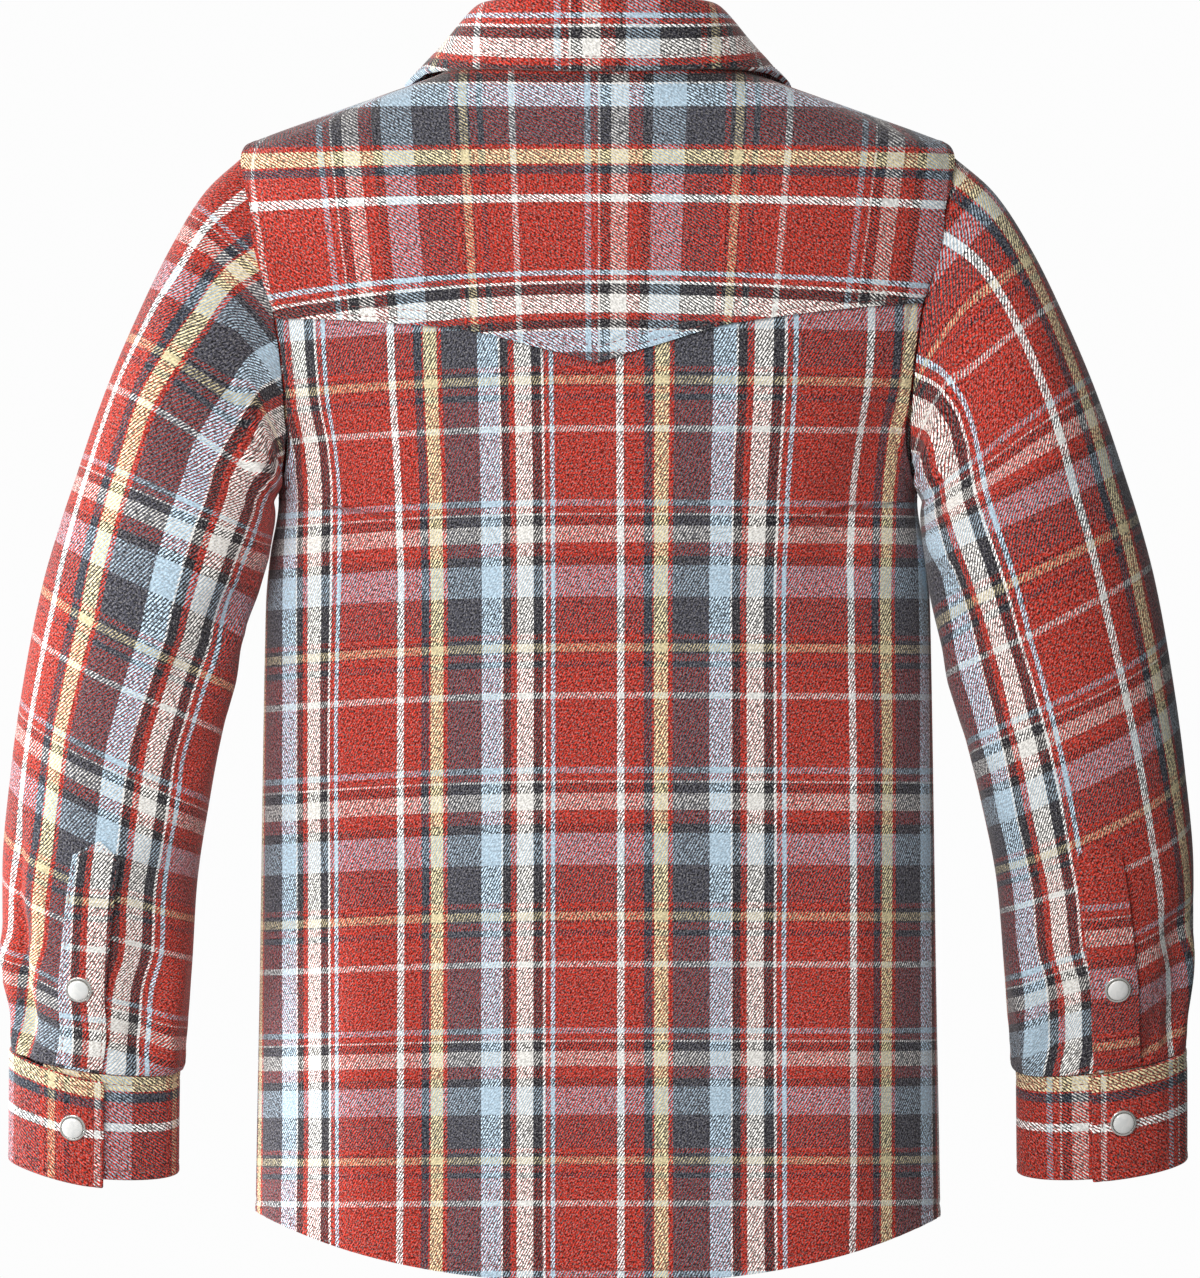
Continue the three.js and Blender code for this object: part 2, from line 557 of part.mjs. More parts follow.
// The cuff is one strip wound a little more than once round the wrist, so its end laps over its start.
const CUFF_WIND = { start: 0.4, room: 0.4, droopOver: 75 };
const cuffDroop = { [-1]: 3.2, [1]: 0.6 }; // how far the end hangs below the start
function cuffPlace(side, degrees, down) {
  const found = place((d, a) => section("cuff", side, d, a), () => 0, degrees, down, 0.5, 0.5, 1);
  const wound = (degrees - CUFF_START) / 360;
  const { start, room, droopOver } = CUFF_WIND;
  found.point.addScaledVector(found.normal, start + (DOUBLE + room) * wound);
  found.point.z -= cuffDroop[side] * ease((degrees - CUFF_END) / droopOver + 1);
  return mirror(side, found);
}

function cuff(side) {
  const at = (u, v) => cuffPlace(side, lerp(CUFF_START, CUFF_END, u), lerp(GAP, CUFF_HEIGHT, v));
  return wall({ columns: 32, rows: 3, at, thickness: DOUBLE });
}

// The sleeve placket: a strip with a pointed top, sewn along the slit above the cuff
const placketLift = CLOTH + GAP + 0.5;
function placketPlace(side, across, up) {
  const { width, length, point, topAngle, cuffAngle, hemRoom } = SLEEVE_PLACKET;
  const peak = length - point * Math.abs(across);
  const along = SLEEVE_LENGTH - hemRoom - up * (peak - 2);
  const middle = lerp(cuffAngle, topAngle, (SLEEVE_LENGTH - along) / length);
  const ringWidth = (sleeveColumn.outerX.sleeve(along) - sleeveColumn.innerX.sleeve(along)) / 2;
  const degrees = middle - (across * width) / 2 / ringWidth / RADIAN;
  return mirror(side, sleevePlace(side, degrees, along));
}

function placket(side) {
  const at = (u, v) => placketPlace(side, lerp(-1, 1, u), v);
  return wall({ columns: 4, rows: 9, at, thickness: CLOTH, lift: () => placketLift });
}

// The collar's fold line and the neck seam below it, at a signed angle.
// Each is the body's own line there, taken in or out across and in depth.
const COLLAR_LEVEL = {
  neck: { height: neckHeight, across: 0.985, depth: 0.985 },
  fold: { height: foldLine, across: 0.955, depth: 1.015 },
};
function collarLine(degrees, level) {
  const size = Math.abs(degrees);
  const seam = neckPlace(Math.sign(degrees || 1) * Math.min(size, 180));
  const base = bodyPoint(seam.round, seam.z);
  const past = (size - 180) * RADIAN * NECK_HALF_WIDTH;
  base.x = size > 180 ? -Math.sign(degrees) * past : base.x;
  const { height, across, depth } = COLLAR_LEVEL[level];
  return new THREE.Vector3(base.x * across, base.y * depth, height(Math.min(size, 360 - size)));
}

// The stand's left end, at -X, passes over its right end.
const STAND_END = 180 + BAND_WIDTH / 2 / NECK_HALF_WIDTH / RADIAN;
const STAND_LAP = { rise: 3, until: 0.12, over: 0.05 };
const STAND_ROOM = { low: 3.2, overLap: 1.8, high: 1.6 }; // clear of the neck seam and the fold
const standLift = (u) => (u < 0.5 ? STAND_LAP.rise * ease((STAND_LAP.until - u) / STAND_LAP.over) : 0);
function standPlace(degrees, up) {
  const surface = (turn, height) => {
    const low = collarLine(turn, "neck");
    low.z += STAND_ROOM.low + (turn < 0 ? STAND_ROOM.overLap * ease((-turn - 140) / 25) : 0);
    const high = collarLine(turn, "fold");
    high.z -= STAND_ROOM.high;
    return low.lerp(high, height);
  };
  return place(surface, () => 0, degrees, up, 0.4, 0.05, 1);
}

function stand() {
  const at = (u, v) => standPlace(lerp(-STAND_END, STAND_END, u), v);
  return wall({ columns: 40, rows: 2, at, thickness: DOUBLE, lift: standLift });
}

// The fall rolls over the fold and comes down to the outer edge, just clear of the yoke and fronts.
const FALL_CLEARANCE = YOKE_LIFT + CLOTH / 2 + GAP + DOUBLE / 2 + 1.6;
const ROLL = { above: 2.2, out: 3.4, up: 2.4 }; // the rounded turn over the fold
const BELLY = { share: 0.42, out: 0.8, up: 0.8 }; // the slight swell below it
// How much further out the fall stands in front: at its edge, at its fold, and over the left lap.
// Each starts at an angle round the neck and grows over some more degrees.
const FALL_ROOM = {
  edge: { rise: 3.6, start: 120, over: 40 },
  fold: { rise: 4.6, start: 92, over: 30 },
  lap: { rise: 3.2, start: 138, over: 22 },
};
const room = ({ rise, start, over }, size) => rise * ease((size - start) / over);
function fallPoint(degrees, down) {
  const size = Math.abs(degrees);
  const fold = collarLine(degrees, "fold");
  fold.z += ROLL.above;
  const edgeTurn = Math.sign(degrees || 1) * collarEdgeTurn(size) * RADIAN;
  const rest = place(bodyPoint, () => 0, edgeTurn, collarEdgeZ(size), 2e-3, 0.2, 1);
  const edge = rest.point.addScaledVector(rest.normal, FALL_CLEARANCE + room(FALL_ROOM.edge, size));
  const out = edge.clone().sub(fold).setZ(0).normalize();
  const overLap = degrees < 0 ? room(FALL_ROOM.lap, size) : 0;
  fold.addScaledVector(out, room(FALL_ROOM.fold, size) + overLap);
  const roll = fold.clone().addScaledVector(out, ROLL.out);
  roll.z += ROLL.up;
  const belly = fold.clone().lerp(edge, BELLY.share).addScaledVector(out, BELLY.out);
  belly.z += BELLY.up;
  return new THREE.CubicBezierCurve3(fold, roll, belly, edge).getPoint(down);
}

function fall() {
  const at = (u, v) => {
    const degrees = lerp(-COLLAR_END, COLLAR_END, u);
    return place(fallPoint, () => 0, degrees, clamp(v * 0.98 + 0.01), 0.4, 0.01, -1);
  };
  return wall({ columns: 40, rows: 5, at, thickness: DOUBLE });
}

// A snap: a metal ring with prongs, and a domed pearl set in it
function snapRing() {
  const { ring, pearl } = SNAP;
  const profile = [
    [0, 0],
    [ring - 0.5, 0],
    [ring, 0.7],
    [ring - 0.3, 1.5],
    [pearl + 0.3, 1.9],
    [pearl + 0.2, SNAP.seat],
    [0, SNAP.seat],
  ].map(([r, h]) => new THREE.Vector2(r, h));
  return new THREE.LatheGeometry(profile, SNAP.sides);
}

function snapPearl() {
  const { pearl, height } = SNAP;
  const base = SNAP.seat + GAP;
  const profile = [
    [0, base],
    [pearl - 0.1, base],
    [pearl - 0.1, 1.7],
    [pearl * 0.72, height - 0.2],
    [pearl * 0.38, height + 0.1],
    [0, height + 0.2],
  ].map(([r, h]) => new THREE.Vector2(r, h));
  return new THREE.LatheGeometry(profile, SNAP.sides);
}

const materials = {
  flannel: new THREE.MeshStandardMaterial({ color: 0x9c4a3f, roughness: 0.95, metalness: 0 }),
  metal: new THREE.MeshStandardMaterial({ color: 0xb9b4aa, roughness: 0.3, metalness: 1 }),
  pearl: new THREE.MeshStandardMaterial({ color: 0xf1eee8, roughness: 0.25, metalness: 0 }),
};

const shirt = new THREE.Group();

function add(name, geometry, material = materials.flannel) {
  const mesh = new THREE.Mesh(geometry, material);
  mesh.name = name;
  shirt.add(mesh);
  return mesh;
}

// Sets a snap on a place, standing clear of the cloth under it
function addSnap(name, found, lift) {
  const turn = new THREE.Quaternion().setFromUnitVectors(new THREE.Vector3(0, 1, 0), found.normal);
  const seat = found.point.clone().addScaledVector(found.normal, lift + GAP);
  for (const [part, geometry, material] of [
    ["ring", snapRing(), materials.metal],
    ["pearl", snapPearl(), materials.pearl],
  ]) {
    const mesh = add(`${name}_${part}`, geometry, material);
    mesh.quaternion.copy(turn);
    mesh.position.copy(seat);
  }
}

add("back", backPanel());
add("back_yoke", yoke());
for (const [side, name] of [
  [-1, "left"],
  [1, "right"],
]) {
  add(`front_${name}`, frontPanel(side));
  add(`snap_band_${name}`, band(side));
  add(`sleeve_${name}`, sleeve(side));
  add(`cuff_${name}`, cuff(side));
  add(`sleeve_placket_${name}`, placket(side));
  addSnap(`cuff_snap_${name}`, cuffPlace(side, CUFF_END - 21, 23), DOUBLE / 2);
  addSnap(`placket_snap_${name}`, placketPlace(side, 0.1, 0.36), placketLift + CLOTH / 2);
}
add("collar_stand", stand());
add("collar_fall", fall());
addSnap("stand_snap", standPlace(-180, 0.48), standLift(0) + DOUBLE / 2 - 0.3);
const bandLift = frontLift(-1)(0) + (CLOTH + GAP) + CLOTH / 2;
for (let i = 0; i < FRONT_SNAPS; i += 1) {
  const z = neckHeight(180) - 20 - SNAP_SPACING * i;
  addSnap(`front_snap_${i + 1}`, bodyPlace(Math.PI, z), bandLift);
}

export default shirt;
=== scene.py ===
# %% [markdown]
# # A western snap shirt, seen from behind
# The shirt is a child's long-sleeved flannel shirt in a bright plaid, with a pointed yoke, pearl snaps and
# no wearer inside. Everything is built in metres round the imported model, whose node names are the pattern
# pieces. The first cell loads that model and notes how big it is, so that the cloth can be held to it.

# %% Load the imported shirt
import math
import bpy
import numpy as np
from mathutils import Matrix, Vector


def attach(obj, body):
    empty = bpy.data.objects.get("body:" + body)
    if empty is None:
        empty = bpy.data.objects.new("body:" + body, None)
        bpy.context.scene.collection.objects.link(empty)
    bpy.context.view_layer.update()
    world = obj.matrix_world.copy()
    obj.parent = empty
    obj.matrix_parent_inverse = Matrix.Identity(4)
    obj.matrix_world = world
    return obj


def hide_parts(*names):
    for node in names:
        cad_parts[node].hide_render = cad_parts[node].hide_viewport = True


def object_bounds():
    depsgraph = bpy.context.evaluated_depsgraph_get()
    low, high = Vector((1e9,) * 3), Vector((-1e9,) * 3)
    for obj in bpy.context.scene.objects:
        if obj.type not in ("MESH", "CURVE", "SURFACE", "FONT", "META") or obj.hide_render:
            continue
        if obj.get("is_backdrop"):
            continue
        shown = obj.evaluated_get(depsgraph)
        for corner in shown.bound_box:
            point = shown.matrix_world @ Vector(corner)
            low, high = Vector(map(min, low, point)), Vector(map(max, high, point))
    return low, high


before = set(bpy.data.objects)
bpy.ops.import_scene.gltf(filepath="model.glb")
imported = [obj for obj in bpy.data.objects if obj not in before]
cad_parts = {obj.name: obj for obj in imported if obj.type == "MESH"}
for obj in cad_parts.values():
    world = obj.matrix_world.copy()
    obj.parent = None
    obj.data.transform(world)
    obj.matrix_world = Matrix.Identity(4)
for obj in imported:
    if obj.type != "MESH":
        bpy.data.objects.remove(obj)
packed_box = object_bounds()
for thing in list(bpy.context.selected_objects):
    thing.select_set(False)
print("nodes in the packed shirt:", len(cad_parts))

# %% [markdown]
# ## Camera and light
# The photograph looks straight at the back from far away, so its edges hardly converge. A long lens from
# six metres does the same. Its frame is 533 by 568 mm at the shirt, so the distance follows from the lens.

# %% Set the camera behind the shirt
PHOTO_HEIGHT = 0.568
PHOTO_CENTRE = Vector((0.0009, -0.012, -0.2484))


def put_in_scene(name, data):
    made = bpy.data.objects.new(name, data)
    bpy.context.scene.collection.objects.link(made)
    return made


lens = bpy.data.cameras.new("camera")
lens.lens = 400
lens.sensor_width = 36
camera = put_in_scene("camera", lens)
distance = PHOTO_HEIGHT * lens.lens / lens.sensor_width
camera.location = PHOTO_CENTRE - Vector((0, distance, 0))
camera.rotation_euler = (math.radians(90), 0, 0)
lens.clip_end = 60
bpy.context.scene.camera = camera
print("camera distance:", round(distance, 2), "m")

# %% [markdown]
# The studio is a white room without a floor, because the shirt hangs. The photograph is brightest on the
# left sleeve and darkest on the right one, so a large soft lamp stands on the left and a black screen on the
# right, as a photographer would place them. A small lamp near the left sleeve lifts it a little more, and one
# in front fills the side that the photograph doesn't show.

# %% Lamps
SHIRT_MIDDLE = Vector((0, 0, -0.25))
# Each lamp has its place, its size in metres and its power in watts.
LAMPS = {
    "left_lamp": ((-2.8, 0.5, -0.6), 0.8, 80),
    "high_lamp": ((-0.9, -2.5, 0.6), 1.2, 44),
    "near_lamp": ((-0.72, -0.55, -0.34), 0.3, 1.3),
    "front_lamp": ((0.4, 2.8, 0.8), 1.8, 26),
}


def hang_lamp(name, place, size, power):
    lamp = bpy.data.lights.new(name, "AREA")
    lamp.size = size
    lamp.energy = power
    holder = put_in_scene(name, lamp)
    holder.location = place
    holder.rotation_euler = (SHIRT_MIDDLE - Vector(place)).to_track_quat("-Z", "Y").to_euler()
    holder.visible_camera = False


for name, (place, size, power) in LAMPS.items():
    hang_lamp(name, place, size, power)
print("lamps hung:", len(LAMPS))

# %% [markdown]
# The camera sees a plain white room, while the cloth is lit by a dimmer one. The camera doesn't see the
# screen either. It only keeps light off the right sleeve.

# %% Room and screen
room = bpy.data.worlds.new("white_room")
room.use_nodes = True
bpy.context.scene.world = room
room_nodes = room.node_tree.nodes
room_nodes.clear()
seen = room_nodes.new("ShaderNodeBackground")
seen.inputs["Color"].default_value = (0.98, 0.98, 0.98, 1)
lighting = room_nodes.new("ShaderNodeBackground")
lighting.inputs["Color"].default_value = (0.97, 0.98, 1, 1)
lighting.inputs["Strength"].default_value = 0.38
ray = room_nodes.new("ShaderNodeLightPath")
either = room_nodes.new("ShaderNodeMixShader")
world_out = room_nodes.new("ShaderNodeOutputWorld")
for start, end in (
    (ray.outputs["Is Camera Ray"], either.inputs[0]),
    (lighting.outputs[0], either.inputs[1]),
    (seen.outputs[0], either.inputs[2]),
    (either.outputs[0], world_out.inputs[0]),
):
    room.node_tree.links.new(start, end)

bpy.ops.mesh.primitive_plane_add(size=1.8, location=(0.75, 0, -0.2), rotation=(0, math.pi / 2, 0))
screen = bpy.context.object
screen.name = "dark_screen"
screen.visible_camera = False
dark = bpy.data.materials.new("dark_screen")
dark.use_nodes = True
dark.node_tree.nodes["Principled BSDF"].inputs["Base Color"].default_value = (0.02, 0.02, 0.02, 1)
screen.data.materials.append(dark)
screen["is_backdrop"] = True
bpy.context.scene.view_settings.view_transform = "Standard"
print("screen stands", round(screen.location.x, 2), "m to the right")

# %% [markdown]
# ## A smooth line through a table
# Each pattern piece follows a few measured numbers, such as how wide the body is at each height. This helper
# joins the rows of such a table by a smooth curve that never runs past them, in millimetres.

# %% Follow a table
def follow(places, values):
    order = np.argsort(places)
    spots = np.array(places, float)[order]
    heights = np.array(values, float)[order]
    steps = np.diff(spots)
    rises = np.diff(heights) / steps
    slopes = np.zeros(len(spots))
    slopes[0] = rises[0]
    slopes[-1] = rises[-1]
    before = 2 * steps[1:] + steps[:-1]
    after = steps[1:] + 2 * steps[:-1]
    same_way = rises[:-1] * rises[1:] > 0
    low = np.where(same_way, rises[:-1], 1)
    high = np.where(same_way, rises[1:], 1)
    slopes[1:-1] = np.where(same_way, (before + after) / (before / low + after / high), 0)

    def value(place):
        place = np.asarray(place, float)
        i = np.clip(np.searchsorted(spots, place, side="left") - 1, 0, len(steps) - 1)
        t = (place - spots[i]) / steps[i]
        keep = (1 + 2 * t) * (1 - t) ** 2
        bend = t * (1 - t) ** 2 * slopes[i] - t**2 * (1 - t) * slopes[i + 1]
        return heights[i] * keep + heights[i + 1] * (1 - keep) + steps[i] * bend

    return value


def ease(value):
    value = np.clip(value, 0, 1)
    return value**2 * (3 - 2 * value)


def signed_power(value, power):
    return np.sign(value) * np.abs(value) ** power


def mix(a, b, t):
    return a + (b - a) * t


# %% [markdown]
# ## The body form
# The cloth of the back, yoke and fronts lies on one form, as it would on a child's trunk. The tables give
# its half width and its depth to the back and to the front at each height, from the collar to the hem. The
# cloth is 1.2 mm thick, and a piece that laps over another stands off it by one cloth and a little room.

# %% The form of the body
CLOTH = 1.2
DOUBLE = 2.2
GAP = 0.3
ROUNDNESS = 2.2
LAP_LIFT = CLOTH + GAP + 0.5
BODY_Z = [12, 10, 5, 0.4, -5.7, -11.2, -16.7, -22.3, -27.6, -32, -40, -50, -70, -107, -143, -165, -187, -212,
          -232, -253, -330, -400, -470, -535]
body_width = follow(BODY_Z, [51, 54, 61, 69.5, 85.5, 100.5, 115.5, 130.5, 144.5, 155, 161, 164.5, 168, 163.5,
                             153, 145, 141.6, 145.4, 147.2, 147.7, 149, 150, 151.3, 152.3])
body_back = follow(BODY_Z, [41.5, 42, 43.8, 45.5, 47.5, 49.2, 50.8, 52.3, 53.7, 55, 56.8, 59.2, 62.2, 65.5,
                            66, 65.3, 64.3, 62.8, 61.6, 60.5, 58.5, 59, 61, 63])
body_front = follow(BODY_Z, [38, 39, 41, 43, 45, 46.5, 48, 49.2, 50.2, 51, 53.2, 57, 63, 71, 76, 78.5, 80,
                             80.5, 80.4, 80, 78.5, 77.5, 77, 77])


def body_point(turn, z):
    depth = np.where(np.cos(turn) > 0, body_back(z), body_front(z))
    x = body_width(z) * signed_power(np.sin(turn), 2 / ROUNDNESS)
    return np.stack([x, -depth * signed_power(np.cos(turn), 2 / ROUNDNESS), z + 0 * turn], -1)


def turn_at(x, z, front):
    turn = np.arcsin(np.clip(np.abs(x) / body_width(z), 0, 1) ** (ROUNDNESS / 2))
    return np.where(x < 0, -1, 1) * (math.pi - turn if front else turn)


print("body is", round(float(body_width(-70)) * 2), "mm across the shoulders")

# %% [markdown]
# ## Seams
# Where two pattern pieces meet, both must follow the same line. These are the neck seam, the armholes, the
# curved lower edge of the yoke, and the hem with its raised sides.

# %% The seam lines
ARM_Z, ARM_HALF, ARM_BACK, ARM_FRONT = -109, 76, 35, 41
HEM_BACK, HEM_FRONT = -532, -524
SIDE_RISE_BACK, SIDE_RISE_FRONT = 28, 20
HEM_TILT, YOKE_TILT = 1.1, 0.024
SEAM_ROOM = {"back": 0.8, "front": 1.6, "yoke": 1.5}
NECK_HALF, NECK_POWER = 54, 0.95
neck_height = follow([0, 30, 60, 90, 110, 130, 150, 170, 180], [6, 6.3, 7.8, 10, 2, -14, -36, -54, -57])
yoke_edge = follow([0, 4, 12, 26, 44, 56, 73, 90, 118, 150],
                   [-127, -125.6, -123, -119.4, -114.2, -111.2, -108.8, -106.9, -104.4, -102.5])


def armhole(degrees, wider=0):
    angle = np.radians(degrees)
    z = ARM_Z + (ARM_HALF + wider) * np.cos(angle)
    behind = np.sin(angle) >= 0
    depth = np.where(behind, ARM_BACK, ARM_FRONT) + wider
    share = np.clip(np.abs(np.sin(angle)) * depth / np.where(behind, body_back(z), body_front(z)), 0, 1)
    turn = np.arccos(share ** (ROUNDNESS / 2))
    return np.where(behind, turn, math.pi - turn), z


def armhole_angle(z, front):
    angle = np.degrees(np.arccos((z - ARM_Z) / (ARM_HALF + GAP / 2)))
    return 360 - angle if front else angle


def hem_height(turn):
    share = np.clip(np.abs(np.sin(turn)), 0, 1) ** (2 / ROUNDNESS * 2.5)
    back = np.cos(turn) > 0
    rise = np.where(back, SIDE_RISE_BACK, SIDE_RISE_FRONT) * share
    return np.where(back, HEM_BACK, HEM_FRONT) + rise - HEM_TILT * np.sin(turn)


def yoke_height(x):
    return yoke_edge(np.abs(x)) + YOKE_TILT * x


def neck_x(degrees):
    return NECK_HALF * signed_power(np.sin(np.radians(degrees)), NECK_POWER)


def neck_place(degrees):
    x = neck_x(degrees)
    z = neck_height(np.minimum(np.abs(degrees), 180))
    turn = np.where(np.abs(degrees) > 90, turn_at(x, z, True), turn_at(x, z, False))
    return turn, z


print("yoke point at", round(float(yoke_height(np.array(0.0))), 1), "mm")

# %% [markdown]
# ## A grid that is finer at its edges
# The rows of stitching lie a few millimetres inside each seam, and press a groove that is narrower than the
# rest of the cloth's shapes. So the grid of each piece is fine near its edges and coarser in the middle.

# %% Grid spacing and measuring
def spread(length, edge=9.0, fine=0.95, coarse=2.9):
    if length <= 2.2 * edge:
        return np.linspace(0, 1, int(length / fine) + 2)
    near = np.arange(0, edge, fine)
    middle = np.linspace(edge, length - edge, int((length - 2 * edge) / coarse) + 2)
    return np.concatenate([near, middle, length - near[::-1]]) / length


def walked(points, axis):
    step = np.linalg.norm(np.diff(points, axis=axis), axis=-1)
    start = np.zeros_like(np.take(step, [0], axis=axis))
    return np.concatenate([start, np.cumsum(step, axis=axis)], axis=axis)


def normals_of(points, inside, ring=False):
    full = points
    if ring:
        full = np.concatenate([points[:, -3:-1], points, points[:, 1:3]], axis=1)
    normal = np.cross(np.gradient(full, axis=1), np.gradient(full, axis=0))
    normal /= np.linalg.norm(normal, axis=-1, keepdims=True) + 1e-12
    if ring:
        normal = normal[:, 2:-2]
    away = points - np.asarray(inside, float)
    return normal if (normal * away).sum() > 0 else -normal


# %% [markdown]
# ## Soft folds
# A fold is a line on the cloth with a breadth and a height, higher in its middle and faded at its ends. A
# positive height is a soft ridge and a negative one a trough. All of them are placed from the
# photograph, and the hidden sides get similar ones. A row of stitching presses a groove beside a seam, and
# the thread draws the seam into small ripples.

# %% Folds, grooves and ripples
def fold_height(folds, first, second, second_scale=1.0):
    total = np.zeros(np.broadcast(first, second).shape)
    for p1, q1, p2, q2, breadth, height in folds:
        dx = p2 - p1
        dy = (q2 - q1) * second_scale
        px = first - p1
        py = (second - q1) * second_scale
        length = math.hypot(dx, dy)
        along = (px * dx + py * dy) / length**2
        away = np.abs(px * dy - py * dx) / length / breadth
        beyond = np.maximum(np.maximum(0, -along), along - 1) * length / (1.6 * breadth)
        fade = ease(0.35 + 4 * np.minimum(along, 1 - along)) * np.exp(-(beyond**2))
        total += height * np.exp(-(away**2)) * fade
    return total


def near(away, reach):
    return np.exp(-((away / reach) ** 2))


def groove(away, at, width=1.1, depth=0.42):
    return -depth * near(away - at, width)


def ripple(place, seed, pitch=9.0):
    rng = np.random.default_rng(seed)
    total = np.zeros_like(np.asarray(place, float))
    for step in (1.0, 0.63, 1.58):
        wave = pitch * step * (0.85 + 0.3 * rng.random())
        total += np.sin(place * 2 * math.pi / wave + 6.28 * rng.random()) / 3
    return total


# %% [markdown]
# ## From grid to cloth
# A pattern piece is a grid of points in the middle of the cloth. It becomes a mesh with its own map, which
# gives every corner its place in the woven cloth in millimetres, and then Solidify gives the cloth its
# thickness and a small Bevel rounds its turned edges.

# %% Make a pattern piece
class Piece:
    def __init__(self, name, points, normal, thickness, ring=False):
        self.name = name
        self.points = points
        self.normal = normal
        self.thickness = thickness
        self.ring = ring
        self.across = walked(points, 1)
        self.down = walked(points, 0)
        self.left = self.across
        self.right = self.across[:, -1:] - self.across
        self.first = self.down
        self.last = self.down[-1:] - self.down

    def from_middle(self):
        x = self.points[..., 0]
        return np.stack([line - np.interp(0, row, line) for row, line in zip(x, self.across)])

    def raised(self, height):
        points = self.points + self.normal * height[..., None]
        return Piece(self.name, points, self.normal, self.thickness, self.ring)

    def area(self):
        a = np.cross(self.points[1:, 1:] - self.points[:-1, :-1], self.points[1:, :-1] - self.points[:-1, 1:])
        return float(np.linalg.norm(a, axis=-1).sum() / 2) * 1e-6


EDGE_ROUND = 0.00034  # metres of rounding for each millimetre of thickness


def four_corners(grid):
    return [grid[:-1, :-1], grid[:-1, 1:], grid[1:, 1:], grid[1:, :-1]]


def finish_with(made, name, kind, **settings):
    step = made.modifiers.new(name, kind)
    for setting, value in settings.items():
        setattr(step, setting, value)
    bpy.ops.object.modifier_apply(modifier=name)


def sew(piece, warp, weft, material):
    rows, columns = piece.points.shape[:2]
    across = columns - 1 if piece.ring else columns
    numbers = np.arange(rows)[:, None] * across + np.arange(columns)[None, :] % across
    corners = np.stack(four_corners(numbers), -1)
    maps = np.stack(four_corners(np.stack([warp, weft], -1)), 2)
    row, column = rows // 2, columns // 2
    side = piece.points[row, column + 1] - piece.points[row, column]
    rise = piece.points[row + 1, column] - piece.points[row, column]
    if np.dot(np.cross(side, rise), piece.normal[row, column]) < 0:
        corners = corners[..., ::-1]
        maps = maps[:, :, ::-1]
    mesh = bpy.data.meshes.new(piece.name)
    points = piece.points[:, :across].reshape(-1, 3) / 1000
    mesh.from_pydata(points.tolist(), [], corners.reshape(-1, 4).tolist())
    layer = mesh.uv_layers.new(name="cloth_mm")
    layer.data.foreach_set("uv", maps.reshape(-1).astype(np.float32))
    mesh.polygons.foreach_set("use_smooth", [True] * len(mesh.polygons))
    made = put_in_scene(piece.name, mesh)
    mesh.materials.append(material)
    bpy.context.view_layer.objects.active = made
    made.select_set(True)
    finish_with(made, "thickness", "SOLIDIFY", thickness=piece.thickness / 1000, offset=0)
    finish_with(made, "turned_edge", "BEVEL", width=piece.thickness * EDGE_ROUND, segments=2,
                limit_method="ANGLE", angle_limit=math.radians(55))
    made.select_set(False)
    print(piece.name, "has", len(made.data.polygons), "faces and", round(piece.area(), 4), "square metres")
    return made


# %% [markdown]
# ## Rows of stitching
# Each seam is held by rows of stitches that follow its edge at a fixed distance. A stitch is a short loop of
# thread that stands a little proud in its middle and dives into the cloth at both ends, so one small shape
# of a few faces is repeated along every row.

# %% Lay stitches along an edge
STITCH, STITCH_GAP = 2.5, 0.8
STITCH_RISE = np.array([-0.22, 0.06, 0.15, 0.06, -0.22])
STITCH_HALF = np.array([0.1, 0.2, 0.22, 0.2, 0.1])
STITCH_POINTS = 4 * len(STITCH_RISE)
thread_rows = {}


def edge_line(piece, edge, away):
    distance = getattr(piece, edge)
    along_rows = edge in ("left", "right")
    lines = []
    for number in range(distance.shape[0 if along_rows else 1]):
        line = (number, slice(None)) if along_rows else (slice(None), number)
        run = distance[line]
        step = 1 if run[-1] > run[0] else -1
        fields = [field[line][::step, k] for field in (piece.points, piece.normal) for k in range(3)]
        lines.append([np.interp(away, run[::step], field) for field in fields])
    lines = np.array(lines)
    return lines[:, :3] + lines[:, 3:] * piece.thickness / 2, lines[:, 3:]


def stitch(group, line, normal, start=0.0, end=0.0):
    run = np.concatenate([[0], np.cumsum(np.linalg.norm(np.diff(line, axis=0), axis=1))])
    middles = np.arange(start + STITCH, run[-1] - end - STITCH, STITCH + STITCH_GAP)
    if len(middles) == 0:
        return
    offsets = np.linspace(-0.5, 0.5, 5) * STITCH
    places = middles[:, None] + offsets[None, :]
    points = np.stack([np.interp(places, run, line[:, k]) for k in range(3)], -1)
    up = np.stack([np.interp(places, run, normal[:, k]) for k in range(3)], -1)
    up /= np.linalg.norm(up, axis=-1, keepdims=True)
    ahead = np.gradient(points, axis=1)
    ahead /= np.linalg.norm(ahead, axis=-1, keepdims=True)
    side = np.cross(up, ahead)
    centre = points + up * STITCH_RISE[None, :, None]
    half = STITCH_HALF[None, :, None]
    ring = np.stack([centre + side * half, centre + up * half, centre - side * half, centre - up * half], 2)
    thread_rows.setdefault(group, []).append(ring.reshape(len(middles), STITCH_POINTS, 3))


STITCH_FACES = [
    (4 * i + j, 4 * i + (j + 1) % 4, 4 * i + 4 + (j + 1) % 4, 4 * i + 4 + j)
    for i in range(4)
    for j in range(4)
]
STITCH_FACES += [(3, 2, 1, 0), (16, 17, 18, 19)]


def tie_threads(group, material):
    shapes = np.concatenate(thread_rows[group])
    first_points = STITCH_POINTS * np.arange(len(shapes))
    faces = (np.array(STITCH_FACES)[None] + first_points[:, None, None]).reshape(-1, 4)
    mesh = bpy.data.meshes.new(group)
    mesh.from_pydata((shapes.reshape(-1, 3) / 1000).tolist(), [], faces.tolist())
    mesh.polygons.foreach_set("use_smooth", [True] * len(faces))
    mesh.materials.append(material)
    made = put_in_scene(group, mesh)
    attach(made, "root")
    print(group, "has", len(shapes), "stitches")


